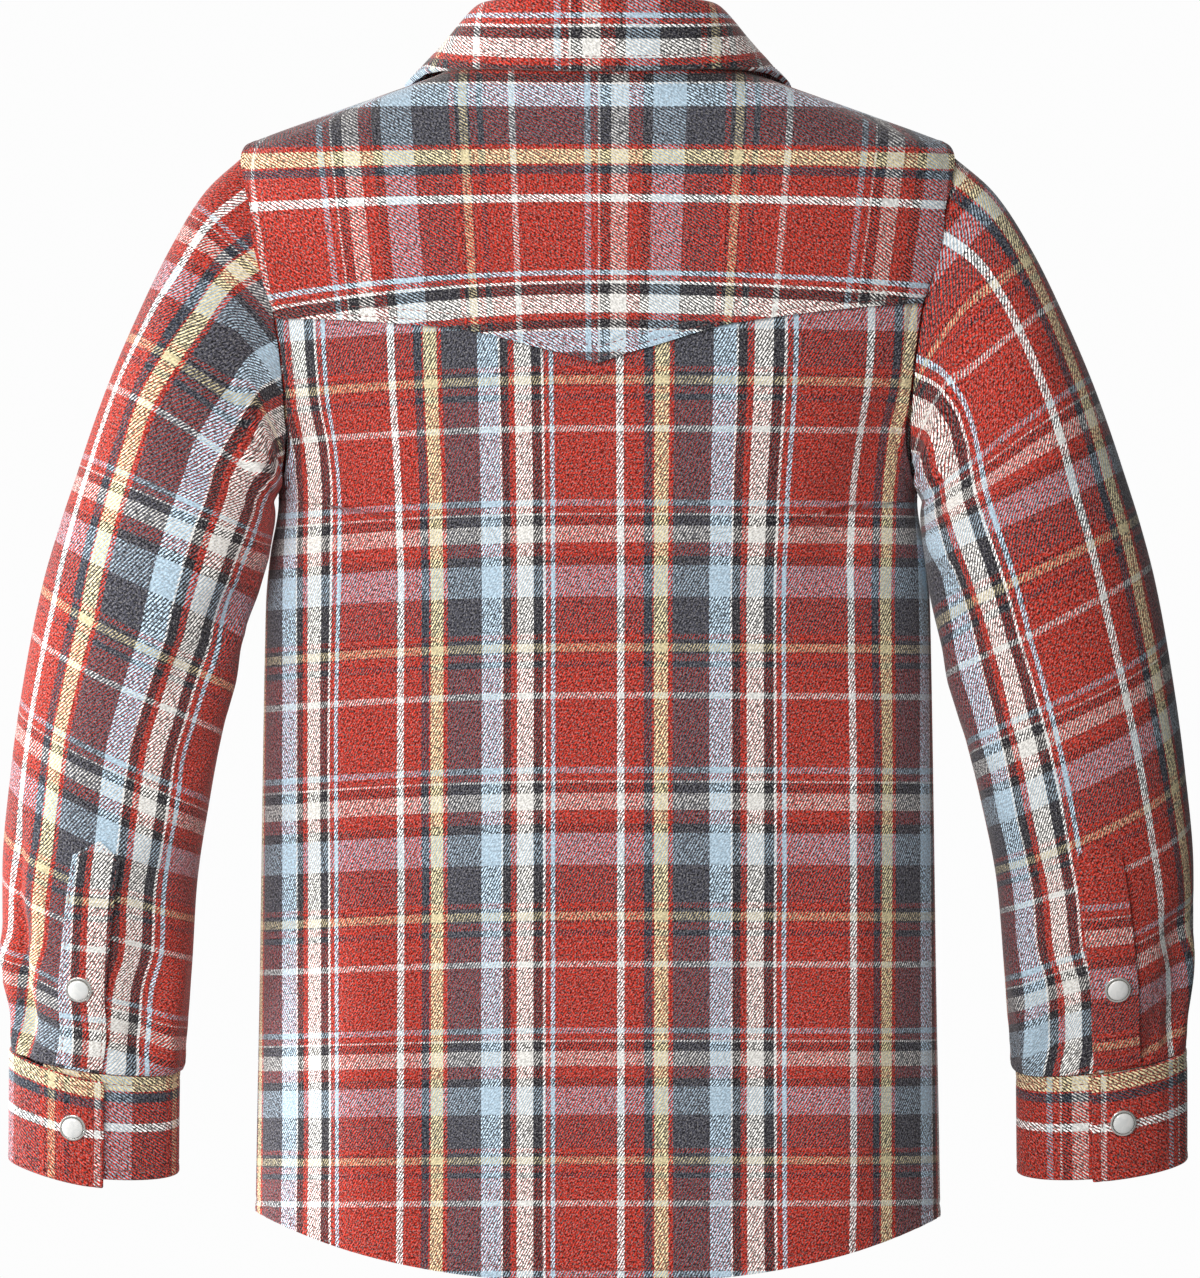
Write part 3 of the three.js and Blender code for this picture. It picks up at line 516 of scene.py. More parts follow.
# %% [markdown]
# ## The plaid flannel
# The cloth is a brushed twill. Its colours come from the order of the dyed yarns: the warp yarns run the
# length of the cloth and the weft yarns cross them, and where they cross the diagonal ribs of the twill show
# both. So the finish has two lists of yarns, read across and along the cloth, and one rib pattern that
# chooses between them. A small class lets the sums of that pattern be written as sums.

# %% Write node sums as sums
def connect(target, inputs):
    for key, value in inputs.items():
        if isinstance(value, Wire):
            value.tree.links.new(value.socket, target.inputs[key])
        else:
            target.inputs[key].default_value = value


class Wire:
    def __init__(self, tree, socket):
        self.tree = tree
        self.socket = socket

    def node(self, kind, settings=None, inputs=None, output=0):
        made = self.tree.nodes.new(kind)
        for name, value in (settings or {}).items():
            setattr(made, name, value)
        connect(made, inputs or {})
        return Wire(self.tree, made.outputs[output])

    def sum(self, operation, first, second=0.0, third=0.0):
        return self.node("ShaderNodeMath", {"operation": operation}, {0: first, 1: second, 2: third})

    def __add__(self, other):
        return self.sum("ADD", self, other)

    def __radd__(self, other):
        return self.sum("ADD", other, self)

    def __sub__(self, other):
        return self.sum("SUBTRACT", self, other)

    def __rsub__(self, other):
        return self.sum("SUBTRACT", other, self)

    def __mul__(self, other):
        return self.sum("MULTIPLY", self, other)

    def __rmul__(self, other):
        return self.sum("MULTIPLY", other, self)

    def __truediv__(self, other):
        return self.sum("DIVIDE", self, other)

    def __rtruediv__(self, other):
        return self.sum("DIVIDE", other, self)

    def fraction(self):
        return self.sum("FRACT", self)

    def size(self):
        return self.sum("ABSOLUTE", self)

    def between(self, low, high, first=0.0, last=1.0):
        settings = {"interpolation_type": "SMOOTHSTEP"}
        return self.node("ShaderNodeMapRange", settings, {0: self, 1: low, 2: high, 3: first, 4: last})

    def tint(self, other, share, blend="MIX"):
        settings = {"data_type": "RGBA", "blend_type": blend, "clamp_result": False}
        return self.node("ShaderNodeMix", settings, {0: share, 6: self, 7: other}, 2)

    def shades(self, dark, light):
        return self.node("ShaderNodeMix", {"data_type": "RGBA"}, {0: self, 6: dark, 7: light}, 2)


def paint(red, green, blue):
    shares = [value / 255 for value in (red, green, blue)]
    linear = [c / 12.92 if c <= 0.04045 else ((c + 0.055) / 1.055) ** 2.4 for c in shares]
    return (*linear, 1.0)


def new_finish(name):
    made = bpy.data.materials.new(name)
    made.use_nodes = True
    return made, made.node_tree.nodes["Principled BSDF"], Wire(made.node_tree, None)


# %% [markdown]
# The order of the yarns was counted along one repeat each way, from one white stripe to the next.
# The numbers are widths, and only their shares of the repeat matter.

# %% The yarns and their order
YARN = {
    "red": paint(180, 48, 33),
    "charcoal": paint(70, 70, 79),
    "navy": paint(44, 52, 66),
    "black": paint(34, 32, 38),
    "blue": paint(190, 214, 230),
    "white": paint(246, 246, 242),
    "cream": paint(246, 243, 236),
    "yellow": paint(230, 214, 168),
}
WARP_ORDER = [
    ("white", 7), ("red", 19), ("navy", 8), ("red", 2), ("yellow", 13), ("red", 5), ("charcoal", 36),
    ("blue", 21), ("white", 2), ("black", 8), ("red", 6), ("cream", 17), ("black", 10), ("white", 3),
    ("red", 5), ("blue", 5), ("red", 64.5),
]
WEFT_ORDER = [
    ("white", 6), ("red", 24), ("navy", 6), ("red", 8), ("black", 2), ("yellow", 8), ("black", 4),
    ("red", 5), ("charcoal", 37), ("blue", 31), ("black", 9), ("red", 13), ("cream", 16), ("black", 11),
    ("white", 2), ("red", 7), ("blue", 6), ("red", 67),
]
WARP_REPEAT = 108.0
WEFT_REPEAT = 117.8
print("one repeat of the plaid is", WARP_REPEAT, "by", WEFT_REPEAT, "mm")

# %% [markdown]
# Every pattern piece carries a map with its place in the cloth in millimetres. The uneven yarns, the flecks
# and the painted highlight of the nap are all soft noise over that map, at different sizes.

# %% Place in the cloth
flannel, flannel_surface, cloth = new_finish("plaid_flannel")
cloth_map = cloth.node("ShaderNodeUVMap", {"uv_map": "cloth_mm"})
warp_mm = cloth.node("ShaderNodeSeparateXYZ", None, {0: cloth_map}, 0)
weft_mm = cloth.node("ShaderNodeSeparateXYZ", None, {0: cloth_map}, 1)


def grain(across, along, detail=2.0, roughness=0.6):
    place = cloth.node("ShaderNodeCombineXYZ", None, {0: across, 1: along})
    look = {"Vector": place, "Scale": 1.0, "Detail": detail, "Roughness": roughness}
    return cloth.node("ShaderNodeTexNoise", {"noise_dimensions": "2D"}, look)


print("cloth map read by", len(flannel.node_tree.nodes), "nodes so far")

# %% [markdown]
# A ramp with hard steps gives the colour of the yarn at each place. The first yarn is the white one, and the
# count starts in its middle. Uneven yarns make the edges of the stripes a little ragged.

# %% Colours of the yarns
RAGGED = 0.004
slub = grain(warp_mm * 1.1, weft_mm * 1.1) - 0.5


def yarn_colour(place, repeat, order):
    total = sum(width for _, width in order)
    ramp = cloth.tree.nodes.new("ShaderNodeValToRGB")
    ramp.color_ramp.interpolation = "CONSTANT"
    stops = ramp.color_ramp.elements
    at = 0.0
    for number, (yarn, width) in enumerate(order):
        stop = stops[number] if number < 1 else stops.new(at / total)
        stop.position = at / total
        stop.color = YARN[yarn]
        at += width
    stops.remove(stops[len(stops) - 1])
    half_first = order[0][1] / 2 / total
    connect(ramp, {0: (place / repeat + half_first + slub * RAGGED).fraction()})
    return Wire(cloth.tree, ramp.outputs[0])


def channel(colour, number):
    return cloth.node("ShaderNodeSeparateColor", None, {0: colour}, number)


warp_yarn = yarn_colour(warp_mm, WARP_REPEAT, WARP_ORDER)
weft_yarn = yarn_colour(weft_mm, WEFT_REPEAT, WEFT_ORDER)
print("stripes in one repeat:", len(WARP_ORDER), "along and", len(WEFT_ORDER), "across")

# %% [markdown]
# The ribs are steep diagonals, about 1.2 mm apart, and the warp covers three fifths of each. Between the ribs
# the weft lies lower, and painted shade darkens it there, a dark weft more than a bright one. Across each rib
# painted shade and highlight round the warp yarn. Where both yarns are pale the painted rib shade hardly shows.

# %% Ribs of the twill
RIB_WARP, RIB_WEFT = 1.36, 2.35
waver = grain(warp_mm * 0.3, weft_mm * 0.2, 1.0) - 0.5
diagonal = warp_mm / RIB_WARP - weft_mm / RIB_WEFT + waver * 0.4
rib = (diagonal.fraction() * 2.0 - 1.0).size()
cover = rib.between(0.32, 0.46)
# Painted shade: the weft between the ribs is darkened, a dark weft more than a bright one.
sunk_weft_shade = channel(weft_yarn, 0).between(0.04, 0.9, 0.62, 0.76)
# Painted shade and highlight across each rib: lighter in the middle of the warp, darker at its edges.
raised = rib.between(0.26, 0.66, 0.32, 1.24)
fleck = grain(diagonal * 1.25, weft_mm, 2.0, 0.7)
shade = (sunk_weft_shade + (raised - sunk_weft_shade) * cover) * fleck.between(0.35, 0.65, 0.16, 1.9)
# Where both yarns are pale, most of the painted rib shade is taken back.
both_pale = cloth.sum("MINIMUM", channel(warp_yarn, 1), channel(weft_yarn, 1)).between(0.15, 0.75)
shade = shade + (1.06 - shade) * both_pale * 0.66
print("ribs are", round(1 / math.hypot(1 / RIB_WARP, 1 / RIB_WEFT), 2), "mm apart")

# %% [markdown]
# The brushed surface scatters light, so a pale painted highlight of the nap lies in patches over everything,
# and there is a faint sheen at grazing angles. The ribs and flecks also stand a little proud.

# %% Yarn colours with painted shade, painted nap highlight and sheen
# A pale painted highlight of the brushed nap, mixed into the colour in patches.
NAP_HIGHLIGHT = (0.8, 0.76, 0.74, 1.0)
grey = cloth.node("ShaderNodeCombineColor", None, {0: shade, 1: shade, 2: shade})
# The yarn colours multiplied by the grey of the painted rib shade and the random flecks.
yarns_with_painted_shade = weft_yarn.tint(warp_yarn, cover).tint(grey, 1.0, "MULTIPLY")
nap_highlight = grain(warp_mm * 1.3, weft_mm * 1.1, 2.0, 0.75).between(0.5, 0.72, 0.0, 0.34)
proud = {"Strength": 0.55, "Distance": 0.0003, "Height": rib * 0.5 + fleck * 0.9}
connect(flannel_surface, {
    "Base Color": yarns_with_painted_shade.tint(NAP_HIGHLIGHT, nap_highlight),
    "Roughness": 0.92,
    "Specular IOR Level": 0.18,
    "Sheen Weight": 0.22,
    "Sheen Roughness": 0.45,
    "Sheen Tint": (1.0, 0.9, 0.86, 1.0),
    "Normal": cloth.node("ShaderNodeBump", None, proud),
})
print("flannel has", len(flannel.node_tree.nodes), "nodes")

# %% [markdown]
# ## Patches of the body
# Each panel of the body is bounded by four seams. Blending between them gives a net of places on the body
# form, and the folds then lift that net off the form.

# %% Lay a panel between four edges
BACK_FOLDS = [
    (-112, -250, -104, -515, 15, 3.2), (-80, -330, -72, -520, 14, -2.2), (118, -270, 108, -515, 15, 2.8),
    (74, -360, 66, -525, 16, -2), (-128, -150, -96, -235, 13, -3), (130, -140, 100, -225, 13, -3),
]
FRONT_FOLDS = [
    (-118, -190, -84, -500, 17, 3.4), (120, -185, 92, -505, 17, 3.2), (-64, -280, -56, -500, 16, -2.4),
    (66, -300, 54, -505, 16, -2.2), (-128, -130, -78, -200, 13, -3), (128, -135, 76, -195, 13, -2.8),
]


def blend_edges(bottom, top, left, right, u, v):
    across, up = np.meshgrid(u, v)
    low = [np.asarray(part, float)[None, :] for part in bottom(u)]
    high = [np.asarray(part, float)[None, :] for part in top(u)]
    left_side = [np.asarray(part, float)[:, None] for part in left(v)]
    right_side = [np.asarray(part, float)[:, None] for part in right(v)]
    corner = mix(low[0][:, :1], low[0][:, -1:], across), mix(low[1][:, :1], low[1][:, -1:], across)
    upper = mix(high[0][:, :1], high[0][:, -1:], across), mix(high[1][:, :1], high[1][:, -1:], across)
    return [
        mix(low[k], high[k], up) + mix(left_side[k], right_side[k], across) - mix(corner[k], upper[k], up)
        for k in (0, 1)
    ]


def body_piece(name, turn, z, lift, thickness=CLOTH):
    bare = body_point(turn, z)
    inside = np.stack([0 * z, 0 * z, z], -1)
    normal = normals_of(bare, inside)
    back = np.cos(turn) > 0
    x = bare[..., 0]
    bulge = np.where(back, fold_height(BACK_FOLDS, x, z), fold_height(FRONT_FOLDS, x, z))
    bulge = bulge * ease(np.abs(np.cos(turn)) * 4)
    lifted = bare + normal * bulge[..., None]
    normal = normals_of(lifted, inside)
    height = lift(lifted) if callable(lift) else lift
    points = lifted + normal * np.broadcast_to(height, z.shape)[..., None]
    return Piece(name, points, normals_of(points, inside), thickness)


# %% [markdown]
# ## The back panel
# The main panel runs from under the yoke down to the curved hem, and is cut with the length of the cloth
# upright. It hangs in two long soft ridges with troughs beside them, and is drawn in towards the armholes.

# %% Side seam and armhole of a panel
SIDE_SHARE = 0.74  # how much of a panel's side is side seam, the rest being armhole
PAST_UNDERARM = 2.2


def side_edge(side, front, end_angle):
    start = hem_height(np.array(side * math.pi / 2 + (1e-6 if front else -1e-6) * side))
    underarm = ARM_Z - ARM_HALF - GAP

    def edge(t):
        t = np.asarray(t, float)
        z_low = mix(start, underarm, np.minimum(t, SIDE_SHARE) / SIDE_SHARE)
        depth = body_front(z_low) if front else body_back(z_low)
        turn_low = np.arccos((GAP / 2 / depth) ** (ROUNDNESS / 2))
        turn_low = math.pi - turn_low if front else turn_low
        begin = 180 + (PAST_UNDERARM if front else -PAST_UNDERARM)
        clear = SEAM_ROOM["front" if front else "back"]
        share = np.clip((t - SIDE_SHARE) / (1 - SIDE_SHARE), 0, 1)
        turn_high, z_high = armhole(mix(begin, end_angle, share), clear)
        low = t <= SIDE_SHARE
        return side * np.where(low, turn_low, turn_high), np.where(low, z_low, z_high)

    return edge


def yoke_angle(side, lap):
    return armhole_angle(yoke_height(np.array(side * 145.0)) + lap, False)


def panel_rows(length):
    return np.unique(np.concatenate([spread(length), SIDE_SHARE + np.linspace(-0.02, 0.02, 9)]))


print("the armhole takes", round((1 - SIDE_SHARE) * 100), "percent of a panel's side")

# %% Back panel
UNDER_YOKE = 9


def make_back():
    left = side_edge(-1, False, yoke_angle(-1, UNDER_YOKE))
    right = side_edge(1, False, yoke_angle(1, UNDER_YOKE))
    corners = [body_point(*[np.asarray(part) for part in edge(np.array(1.0))]) for edge in (left, right)]

    def top(u):
        x = mix(corners[0][0], corners[1][0], u)
        straight = mix(corners[0][2], corners[1][2], u)
        dip = yoke_height(x) - mix(yoke_height(corners[0][0]), yoke_height(corners[1][0]), u)
        return turn_at(x, straight + dip, False), straight + dip

    def bottom(u):
        turn = mix(left(np.array(0.0))[0], right(np.array(0.0))[0], u)
        return turn, hem_height(turn)

    turn, z = blend_edges(bottom, top, left, right, spread(330), panel_rows(430))
    piece = body_piece("back_cloth", turn, z, 0.0)
    return piece, piece.from_middle(), z


HEM_ROW, ARM_ROW = 5.2, 5.6
UNDERARM_Z = -188
back, back_arc, back_z = make_back()
hem_pucker = ripple(back_arc, 3, 8) * 0.35 * near(back.first, 7)
arm_pucker = ripple(back.down, 4, 10) * 0.3 * (near(back.left, 8) + near(back.right, 8))
above_underarm = ease((back_z - UNDERARM_Z + 4) / 8)
relief = groove(back.first, HEM_ROW) + hem_pucker + arm_pucker * above_underarm
relief += (groove(back.left, ARM_ROW, 1.0, 0.6) + groove(back.right, ARM_ROW, 1.0, 0.6)) * above_underarm
back = back.raised(relief)

# %% [markdown]
# The map of the back is straight in its lower half. Above the underarm its stripes fan out, and the cross
# stripes droop towards the left. The levels are the heights of the white cross stripes, which are one repeat
# apart in the cloth.

# %% Chart and sew the back
LEVEL_Z = [-620, -497.2, -391.9, -273.2, -155.6, -40, 60]
LEVEL_B = [-482, -353.4, -235.6, -117.8, 0, 114, 212.5]
WHITE_STRIPE = 10  # the white lengthwise stripe lies this far to the right of the middle


def back_chart(arc, x, z):
    left = arc < WHITE_STRIPE
    fanned = 1 + np.where(left, 0.055, 0.1) * ease((z + 235) / 125)
    warp = (arc - WHITE_STRIPE) * np.where(left, 1.093, 1.026) / fanned
    droop = np.where(x < 0, 3.6 * ease((z + 620) / 330), 0.6)
    level = z + droop * (x / 110) ** 2
    return warp, np.interp(level, LEVEL_Z, LEVEL_B)


for edge, away, end in (("first", HEM_ROW, 2), ("left", ARM_ROW, 0), ("right", ARM_ROW, 0)):
    line, up = edge_line(back, edge, away)
    keep = slice(None) if edge == "first" else back_z[:, 0] > UNDERARM_Z
    stitch("stitches_back", line[keep], up[keep], end, end)
back_object = sew(back, *back_chart(back_arc, back.points[..., 0], back_z), flannel)

# %% [markdown]
# ## The back yoke
# The yoke is one piece over both shoulders, cut across the cloth, so its stripes lie the other way round.
# Its lower edge curves to a shallow point and is held by two rows of stitching.

# %% Shape of the yoke
YOKE_END_Z = -44
YOKE_NECK = 112  # degrees round the neck, from the middle of the back
YOKE_CORNER = 0.7  # where the lower edge ends and the armhole starts, from the point outwards


def make_yoke():
    front_angle = armhole_angle(YOKE_END_Z, True) - 360

    def outer(u):
        u = np.asarray(u, float)
        side = np.where(u < 0.5, -1, 1)
        t = np.abs(u - 0.5) * 2
        turn, z = np.zeros_like(u), np.zeros_like(u)
        for hand in (-1, 1):
            corner = yoke_angle(hand, 0)
            angle = mix(corner, front_angle, np.clip((t - YOKE_CORNER) / (1 - YOKE_CORNER), 0, 1))
            round_arm, z_arm = armhole(np.mod(angle, 360), SEAM_ROOM["yoke"])
            last = armhole(corner, SEAM_ROOM["yoke"])
            x = body_point(*last)[0] * hand * t / YOKE_CORNER
            z_low = yoke_height(x)
            low = turn_at(x, z_low, False)
            mine = side == hand
            turn = np.where(mine, np.where(t > YOKE_CORNER, hand * round_arm, low), turn)
            z = np.where(mine, np.where(t > YOKE_CORNER, z_arm, z_low), z)
        return turn, z

    def inner(u):
        return neck_place(mix(-YOKE_NECK, YOKE_NECK, np.asarray(u, float)))

    def seam(end):
        def edge(v):
            first = inner(np.array(float(end)))
            last = outer(np.array(float(end)))
            return mix(first[0], last[0], v), mix(first[1], last[1], v)

        return edge

    u = np.linspace(0, 1, 221)
    v = spread(125, fine=0.9, coarse=2.4)
    turn, z = blend_edges(inner, outer, seam(0), seam(1), u, v)
    return turn, z, u


yoke_turn, yoke_z, yoke_u = make_yoke()
past = (np.abs(yoke_u - 0.5) - 0.38) / 0.08
yoke = body_piece("yoke_cloth", yoke_turn, yoke_z, (LAP_LIFT + 1.2 * ease(past))[None, :])

# %% [markdown]
# Cut across the cloth, this piece has its cross stripes running down it, wider apart towards the shoulders.
# The lengthwise stripes lie level in the middle and droop at both ends, and over the shoulder they follow
# the slope of the cloth.

# %% Chart and sew the yoke
YOKE_ROWS = (2.6, 7.2)
YOKE_STRIPE_X, YOKE_STRIPE_Z = -37.2, -54.4
yoke_x = yoke.points[..., 0]
yoke_arc = yoke.from_middle()
yoke_pucker = ripple(yoke_x, 7, 9) * 0.3 * near(yoke.last, 6)
relief = groove(yoke.last, YOKE_ROWS[0], 0.8, 0.55) + groove(yoke.last, YOKE_ROWS[1], 0.9, 0.6) + yoke_pucker
yoke = yoke.raised(relief)
low_down = np.clip((-yoke_z - 50) / 50, 0, 1.3)
end_drop = np.where(yoke_x < 0, 9.0, 4.2) * (np.abs(yoke_x) / 145) ** 1.7
over_shoulder = np.maximum(0, yoke.points[..., 1] + 12) * 0.9
sag = 1.6 * (np.abs(yoke_x) / 150) ** 2
yoke_warp = yoke_z + over_shoulder - YOKE_STRIPE_Z + end_drop * low_down + sag
fanned = 1 + 0.09 * (np.clip((yoke_z + 100) / 90, -0.3, 1) - 0.45)
straight = yoke_x / fanned + np.sign(yoke_x) * np.maximum(0, np.abs(yoke_arc) - np.abs(yoke_x)) * 0.1
yoke_weft = -(straight * np.where(yoke_x > 0, 0.985, 1.02) - YOKE_STRIPE_X)
for away in YOKE_ROWS:
    stitch("stitches_yoke", *edge_line(yoke, "last", away), 3, 3)
yoke_object = sew(yoke, yoke_warp, yoke_weft, flannel)

# %% [markdown]
# ## Seam allowance of the armholes
# A shirt's armhole is a folded seam: a narrow strip of cloth runs round it on the inside. Here it also closes
# the view through the seam. It is a ring just under the panels, a little wider than the hole.

# %% Armhole allowance
HAND = {-1: "left", 1: "right"}
STRIP_LIFT, STRIP_CLOTH = -1.9, 0.6


def make_allowance(side):
    degrees, wider = np.meshgrid(np.linspace(0, 359, 140), np.linspace(-3.6, 6.6, 7))
    turn, z = armhole(degrees, wider)
    return body_piece(f"armhole_strip_{HAND[side]}", side * turn, z, STRIP_LIFT, STRIP_CLOTH)


allowances = {}
for side in (-1, 1):
    strip = make_allowance(side)
    print("armhole strip", round(float(strip.across[0, -1])), "mm long,", round(strip.area() * 1e4), "cm2")
    allowances[side] = sew(strip, strip.across, strip.down, flannel)

# %% [markdown]
# ## The fronts and the snap bands
# The photograph doesn't show the front, so it is made plainly: two panels that lap at the middle, each with
# a band that carries the snaps. The plaid runs straight across the opening, as on a well-cut shirt.

# %% Front panels
NECK_START = 107  # degrees round the neck, where the shoulder seam ends under the yoke
BAND_HALF, NECK_TRIM = 14, 0.2


def front_lift(side, x):
    if side > 0:
        return 0 * x
    return 2 * (CLOTH + GAP) * ease(1 - (np.abs(x) - 22) / 45)


def make_front(side):
    outer = side_edge(side, True, armhole_angle(YOKE_END_Z + 1.5, True))

    def past_middle(x, z):
        return np.arcsin((np.abs(x) / body_width(z)) ** (ROUNDNESS / 2))

    def middle(v):
        z = mix(hem_height(np.array(math.pi)), neck_height(180) - NECK_TRIM, v)
        return side * (math.pi + past_middle(BAND_HALF, z)), z

    def top(u):
        u = np.asarray(u, float)
        start = outer(np.array(1.0))
        end = neck_place(np.array(side * NECK_START))
        t = np.clip(u / 0.5, 0, 1)
        shoulder = mix(start[0], end[0], t), mix(start[1], end[1], t)
        last = 180 + math.degrees(math.asin((BAND_HALF / NECK_HALF) ** (1 / NECK_POWER)))
        degrees = mix(NECK_START, last, np.clip((u - 0.5) / 0.5, 0, 1))
        z = neck_height(np.minimum(degrees, 180)) - NECK_TRIM
        x = neck_x(degrees)
        turn = side * (math.pi - past_middle(x, z) * np.sign(x))
        return np.where(u < 0.5, shoulder[0], turn), np.where(u < 0.5, shoulder[1], z)

    def bottom(u):
        turn = mix(outer(np.array(0.0))[0], middle(np.array(0.0))[0], u)
        return turn, hem_height(turn)

    turn, z = blend_edges(bottom, top, outer, middle, spread(200), panel_rows(480))
    piece = body_piece(f"front_cloth_{HAND[side]}", turn, z, lambda points: front_lift(side, points[..., 0]))
    hem_pucker = ripple(piece.across, 11 + side, 8) * 0.3 * near(piece.first, 7)
    relief = groove(piece.first, HEM_ROW) + hem_pucker
    relief += groove(piece.left, ARM_ROW, 1.3, 0.45) * ease((z - UNDERARM_Z + 4) / 8)
    return piece.raised(relief), z


print("at the armhole the yoke ends at", YOKE_END_Z, "mm")

# %% [markdown]
# The lengthwise stripes of both fronts are counted from the middle of the shirt along the cloth, so that they
# go on in step from one front to the other, and the cross stripes lie level with those of the back.

# %% Chart and sew the fronts
FRONT_STRIPE, FRONT_PACE = 21, 1.03


def front_chart(side, piece, z):
    outward = -side * piece.points[..., 0]
    middle = [np.interp(0, row, line) + max(0, -row[-1]) for row, line in zip(outward, piece.across)]
    along = side * (np.array(middle)[:, None] - piece.across)
    return FRONT_STRIPE - along * FRONT_PACE, np.interp(z, LEVEL_Z, LEVEL_B)


fronts = {}
for side in (-1, 1):
    piece, z = make_front(side)
    group = f"stitches_front_{HAND[side]}"
    stitch(group, *edge_line(piece, "first", HEM_ROW), 3, 3)
    line, up = edge_line(piece, "left", ARM_ROW)
    keep = z[:, 0] > UNDERARM_Z
    stitch(group, line[keep], up[keep])
    fronts[side] = sew(piece, *front_chart(side, piece, z), flannel)

# %% Snap bands
BAND_ROW = 4.2
bands = {}
for side in (-1, 1):
    across, up = np.meshgrid(spread(2 * BAND_HALF, edge=7, fine=0.9), spread(465))
    x = mix(-BAND_HALF, BAND_HALF, across)
    z = mix(hem_height(np.array(math.pi)) + 0.3, neck_height(180) - 1.2, up)
    lift = front_lift(side, np.array(0.0)) + CLOTH + GAP
    band = body_piece(f"snap_band_cloth_{HAND[side]}", turn_at(x, z, True), z, lift)
    band = band.raised(groove(band.left, BAND_ROW, 0.9, 0.3) + groove(band.right, BAND_ROW, 0.9, 0.3))
    if side < 0:
        for edge in ("left", "right"):
            stitch("stitches_band", *edge_line(band, edge, BAND_ROW), 3, 3)
    warp = FRONT_STRIPE - band.points[..., 0] * FRONT_PACE
    bands[side] = sew(band, warp, np.interp(z, LEVEL_Z, LEVEL_B), flannel)

# %% [markdown]
# ## The sleeves
# Each sleeve starts on the armhole and soon takes its own section: an oval whose outer and inner sides were
# read off the photograph. The sections lean forward towards the cuff. The left sleeve hangs slimmer.

# %% The form of a sleeve
ALONG = [0, 24, 52, 80, 106, 128, 146, 168, 192, 228, 274, 318, 358, 384, 400]
SLEEVE = {
    "outer_x": [156.5, 175.5, 192.6, 206.5, 218.8, 227.4, 233, 240, 246.7, 253.8, 260.5, 264.9, 265.3, 262.6,
                260.8],
    "outer_z": [-31.5, -49, -76, -105, -134, -158, -175, -197, -222, -259, -305, -351, -390, -415, -431],
    "inner_x": [141, 143, 143.6, 143.6, 143.8, 144.4, 145.4, 147.2, 151.4, 160.2, 170.5, 178.5, 182, 184.2,
                187.2],
    "inner_z": [-185, -186.5, -189, -192.5, -197, -203, -211, -226, -244.5, -276, -318, -358, -397, -423.5,
                -440],
    "mid_y": [-1, -6, -11, -15, -17, -20, -20, -19, -16, -11, -3, 7, 17, 23.5, 27.5],
    "depth": [40, 41, 42, 42.5, 42.5, 42, 41.5, 41, 40, 38.5, 37, 34.5, 31, 27, 23.5],
    "lean": [0, 0, 0, 0, 0, 0, 1, 2, 4, 7, 10, 12, 14, 14, 14],
}
CUFF = {
    "outer_x": [259.6, 260.6], "outer_z": [-431, -481], "inner_x": [189.2, 190], "inner_z": [-440, -487],
    "mid_y": [27.5, 39.5], "depth": [22.5, 21], "lean": [14, 14],
}
sleeve_lines = {name: follow(ALONG, values) for name, values in SLEEVE.items()}
cuff_lines = {name: follow([0, 49], values) for name, values in CUFF.items()}
SLIM_ALONG = [0, 60, 146, 168, 192, 228, 274, 318, 358, 384, 400]
slim_outer = follow(SLIM_ALONG, [0, 2.4, 2.4, 2, 1.2, 0.4, 0, 0, 0.4, 2.2, 0.4])
slim_inner = follow(SLIM_ALONG, [0, 0, 1, 3.2, 5.8, 5.2, 2.6, 0.8, 0, 0, 0])


SLEEVE_END, CUFF_END = 399.7, 49


def section(lines, side, degrees, along):
    value = {name: line(along) for name, line in lines.items()}
    slimmer = side < 0 and lines is sleeve_lines
    outer_x = value["outer_x"] - (slim_outer(along) if slimmer else 0)
    inner_x = value["inner_x"] + (slim_inner(along) if slimmer else 0)
    outer = (1 + np.cos(np.radians(degrees))) / 2
    back = np.sin(np.radians(degrees)) * value["depth"]
    lean = np.radians(value["lean"])
    x = mix(inner_x, outer_x, outer)
    z = mix(value["inner_z"], value["outer_z"], outer) - back * np.sin(lean)
    return np.stack([x, value["mid_y"] - back * np.cos(lean), z], -1)


def arm_middle(lines, side, along):
    return (section(lines, side, 0 * along, along) + section(lines, side, 0 * along + 180, along)) / 2


def sleeve_point(side, degrees, along):
    point = section(sleeve_lines, side, degrees, along)
    fade = np.clip(1 - along / 105, 0, 1) ** 2
    turn, z = armhole(np.mod(degrees, 360))
    seam = body_point(turn, z)
    seam[..., 0] += GAP + 2.2 * ((1 - np.cos(np.radians(degrees))) / 2) ** 3
    return point + (seam - section(sleeve_lines, side, degrees, 0 * along)) * fade[..., None]


print("sleeve is", SLEEVE_END, "mm long and", 2 * max(SLEEVE["depth"]), "mm deep at its fullest")

# %% [markdown]
# The first table holds the folds that the solid sleeve has too. The others are finer creases for each side:
# the drag lines below the armhole, the breaks at the elbow, and the gathers where the cuff takes up the
# width. They are given by distance along the sleeve and degrees round it, 90 being the back.

